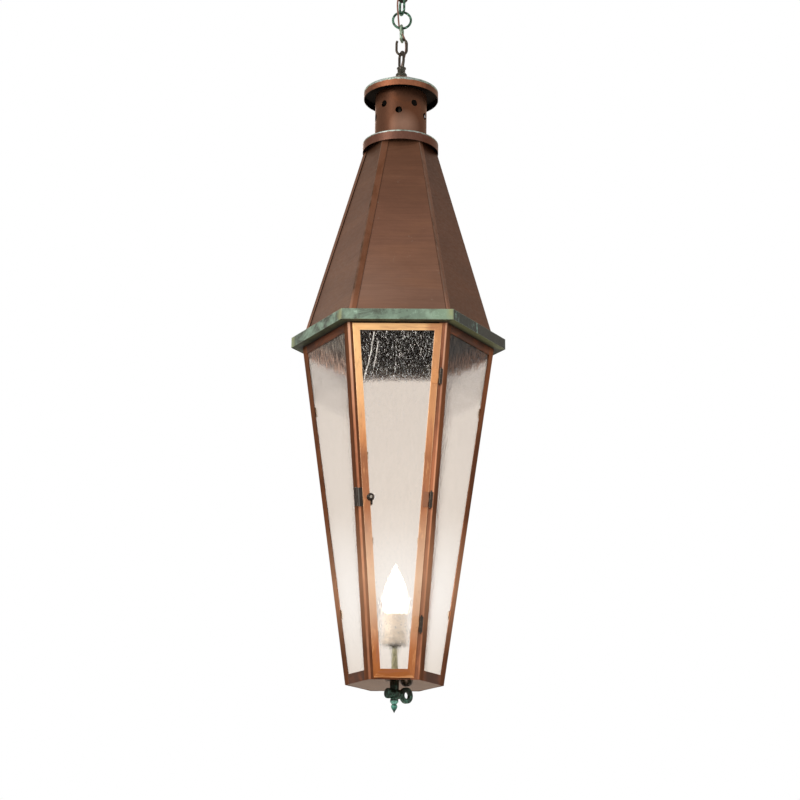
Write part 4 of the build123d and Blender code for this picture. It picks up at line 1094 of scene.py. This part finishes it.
def cord_cover():
    """Brown braid: two sets of threads that cross, laid out along the tube's own map."""
    t = Tree("CordCover")
    u, v, _ = t.axes(t.uv)

    def threads(sign):
        slope = t.plus(t.times(u, BRAID_ROUND * sign), t.times(v, BRAID_ALONG))
        return t.math("SINE", t.times(slope, 2 * math.pi))

    weave = t.span(t.math("MAXIMUM", threads(1), threads(-1)), -0.2, 1.0)
    fuzz = t.noise(700, 4, 0.7)
    colour = t.ramp(
        t.plus(t.times(weave, 0.7), t.times(fuzz, 0.3)),
        [(0.2, rgb(58, 34, 26)), (0.55, rgb(112, 66, 50)), (0.85, rgb(156, 104, 80))],
    )
    return t.output(
        t.surface(
            colour,
            Roughness=t.span(fuzz, 0.3, 0.7, 0.5, 0.75),
            Sheen_Weight=0.3,
            Normal=t.bump(weave, 0.6, 0.0002),
        )
    )


cord_material = cord_cover()
CORD = 0.003                      # diameter of the supply cord and of the socket's lead
# from the canopy's loop through the links into the lantern's loop
SUPPLY_ROUTE = [
    (0, 0, -0.027), (0, 0, -0.037), (-0.0025, -0.0075, -0.048), (-0.0075, -0.008, -0.060),
    (-0.0082, -0.0066, -0.073), (-0.0068, -0.0052, -0.088), (-0.0056, 0.0015, -0.102),
    (-0.004, 0.0052, -0.113), (0.002, 0.003, -0.124), (0.0062, 0.0046, -0.134),
    (0.0076, 0.0048, -0.146), (0.0066, 0.0048, -0.157), (0.0046, 0.0034, -0.168),
    (0.0012, 0.0006, -0.179), (0, 0, -0.190), (0, 0, -0.200),
]
# the lead lies in one upright plane: (reach from the axis, height)
LEAD_TURN = math.radians(120)
LEAD_ROUTE = [
    (reach * math.cos(LEAD_TURN), reach * math.sin(LEAD_TURN), z)
    for reach, z in (
        (0, -0.2001), (-0.0007, -0.23913), (0.0007, -0.3052), (0, -0.3292), (0.030, -0.3492),
        (0.0618, -0.3845), (0.139, -0.6775), (0.14433, -0.724), (0.13437, -0.7941),
        (0.10795, -0.97435), (0.08078, -1.16462), (0.07192, -1.2247), (0.05192, -1.2454),
        (0.0035, -1.2464),
    )
]


def nurbs_line(name, route):
    """The points of the smooth line through a route."""
    curve = bpy.data.curves.new(name, "CURVE")
    curve.dimensions = "3D"
    curve.resolution_u = 12
    spline = curve.splines.new("NURBS")
    spline.points.add(len(route) - 1)
    for point, place in zip(spline.points, route):
        point.co = (*place, 1)
    spline.order_u = 3
    spline.use_endpoint_u = True
    holder = bpy.data.objects.new(name, curve)
    line = bpy.data.meshes.new_from_object(holder)
    points = [v.co.copy() for v in line.vertices]
    bpy.data.objects.remove(holder)
    return points


def rings(points, radius, count=16):
    """Rings of points square to the line, turned as little as possible from one to the next."""
    made, side = [], None
    travelled = 0.0
    for i, point in enumerate(points):
        way = (points[min(i + 1, len(points) - 1)] - points[max(i - 1, 0)]).normalized()
        if side is None:
            side = way.orthogonal()
        side = (side - way * side.dot(way)).normalized()
        other = way.cross(side)
        if i:
            travelled += (point - points[i - 1]).length
        ring = [
            point + (side * math.cos(a) + other * math.sin(a)) * radius
            for a in (2 * math.pi * k / count for k in range(count))
        ]
        made.append((travelled, ring))
    return made


def tube(name, made):
    """A tube over the given rings, with U once round it and V its length in metres."""
    count = len(made[0][1])
    corners = [p for _, ring in made for p in ring]
    faces, maps = [], []
    for i in range(len(made) - 1):
        for k in range(count):
            n = (k + 1) % count
            faces.append(
                (i * count + k, i * count + n, (i + 1) * count + n, (i + 1) * count + k)
            )
            v0, v1 = made[i][0], made[i + 1][0]
            maps += [
                (k / count, v0), ((k + 1) / count, v0), ((k + 1) / count, v1), (k / count, v1)
            ]
    mesh = bpy.data.meshes.new(name)
    mesh.from_pydata(corners, [], faces)
    layer = mesh.uv_layers.new(name="UVMap")
    for spot, uv in zip(layer.data, maps):
        spot.uv = uv
    mesh.shade_smooth()
    mesh.materials.append(cord_material)
    made_object = bpy.data.objects.new(name, mesh)
    scene.collection.objects.link(made_object)
    return made_object


def declare(node):
    """Hides the CAD node that a tube along a line stands for."""
    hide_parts(node)


# The supply cord bends at each contact of the chain, so it is cut between them.
supply_line = nurbs_line("SupplyLine", SUPPLY_ROUTE)
supply_rings = rings(supply_line, CORD / 2)
BENDS = ["canopy_loop", "upper_link", "chain_ring", "middle_link", "open_link"]
CUTS = [0.047, 0.0775, 0.108, 0.1430]       # where it is cut, measured along it
run = [r[0] for r in supply_rings]
marks = [0] + [min(range(len(run)), key=lambda i: abs(run[i] - c)) for c in CUTS]
marks.append(len(run) - 1)
for i, (bend, first, last) in enumerate(zip(BENDS, marks, marks[1:])):
    piece = tube(f"SupplyCord{i + 1}", supply_rings[first : last + 1])
    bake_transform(piece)
    declare("supply_cord")

lead_line = nurbs_line("LeadLine", LEAD_ROUTE)
lead = tube("SocketLead", rings(lead_line, CORD / 2))
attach(lead, "lantern")
declare("socket_lead")


# ---- surroundings --------------------------------------------------------------------
def light_room():
    """A soft pale room that camera, gloss and glass see as plain white."""
    world = bpy.data.worlds.new("Room")
    scene.world = world
    world.use_nodes = True
    tree = world.node_tree
    tree.nodes.clear()

    def node(kind, *values):
        made = tree.nodes.new(kind)
        for socket, value in zip(made.inputs, values):
            if isinstance(value, bpy.types.NodeSocket):
                tree.links.new(value, socket)
            else:
                socket.default_value = value
        return made

    path = node("ShaderNodeLightPath").outputs
    seen = path["Is Camera Ray"]
    for ray in ("Is Glossy Ray", "Is Transmission Ray"):
        either = node("ShaderNodeMath")
        either.operation = "MAXIMUM"
        tree.links.new(seen, either.inputs[0])
        tree.links.new(path[ray], either.inputs[1])
        seen = either.outputs[0]
    room = node("ShaderNodeBackground", (1.0, 0.98, 0.96, 1), 0.55)
    white = node("ShaderNodeBackground", (1, 1, 1, 1), 1.0)
    both = node("ShaderNodeMixShader", seen, room.outputs[0], white.outputs[0])
    node("ShaderNodeOutputWorld", both.outputs[0])


LAMP_AIM = Vector((0, 0, -0.85))  # a little below the eave
FLOOR_REACH = 6.0
FLOOR_DROP = 0.9                  # below the finial's tip


def lamp(name, place, size, watts, colour=(1, 1, 1)):
    """A round lamp aimed at the lantern, itself unseen by the camera and through glass."""
    data = bpy.data.lights.new(name, "AREA")
    data.shape = "DISK"
    data.size = size
    data.energy = watts
    data.color = colour
    made = bpy.data.objects.new(name, data)
    made.location = place
    aim = LAMP_AIM - Vector(place)
    made.rotation_euler = aim.to_track_quat("-Z", "Y").to_euler()
    made.visible_camera = False
    made.visible_transmission = False
    scene.collection.objects.link(made)


def lay_floor(reach, level):
    """A pale floor."""
    mesh = bpy.data.meshes.new("Floor")
    corners = [(-reach, -reach), (reach, -reach), (reach, reach), (-reach, reach)]
    mesh.from_pydata([(x, y, level) for x, y in corners], [], [(0, 1, 2, 3)])
    floor = bpy.data.objects.new("Floor", mesh)
    scene.collection.objects.link(floor)
    t = Tree("PaleFloor")
    shade = t.ramp(t.noise(3, 3), [(0.3, (0.83, 0.83, 0.82, 1)), (0.7, (0.88, 0.88, 0.87, 1))])
    mesh.materials.append(t.output(t.surface(shade, Roughness=0.9)))


light_room()
lamp("KeyLamp", (-1.9, -2.3, -0.1), 1.1, 62, (1.0, 0.97, 0.93))
lamp("FillLamp", (2.2, -1.6, -1.2), 1.2, 9)
lamp("BackLamp", (-0.8, 2.2, 0.1), 1.2, 16)
lay_floor(FLOOR_REACH, cad_low.z - FLOOR_DROP)
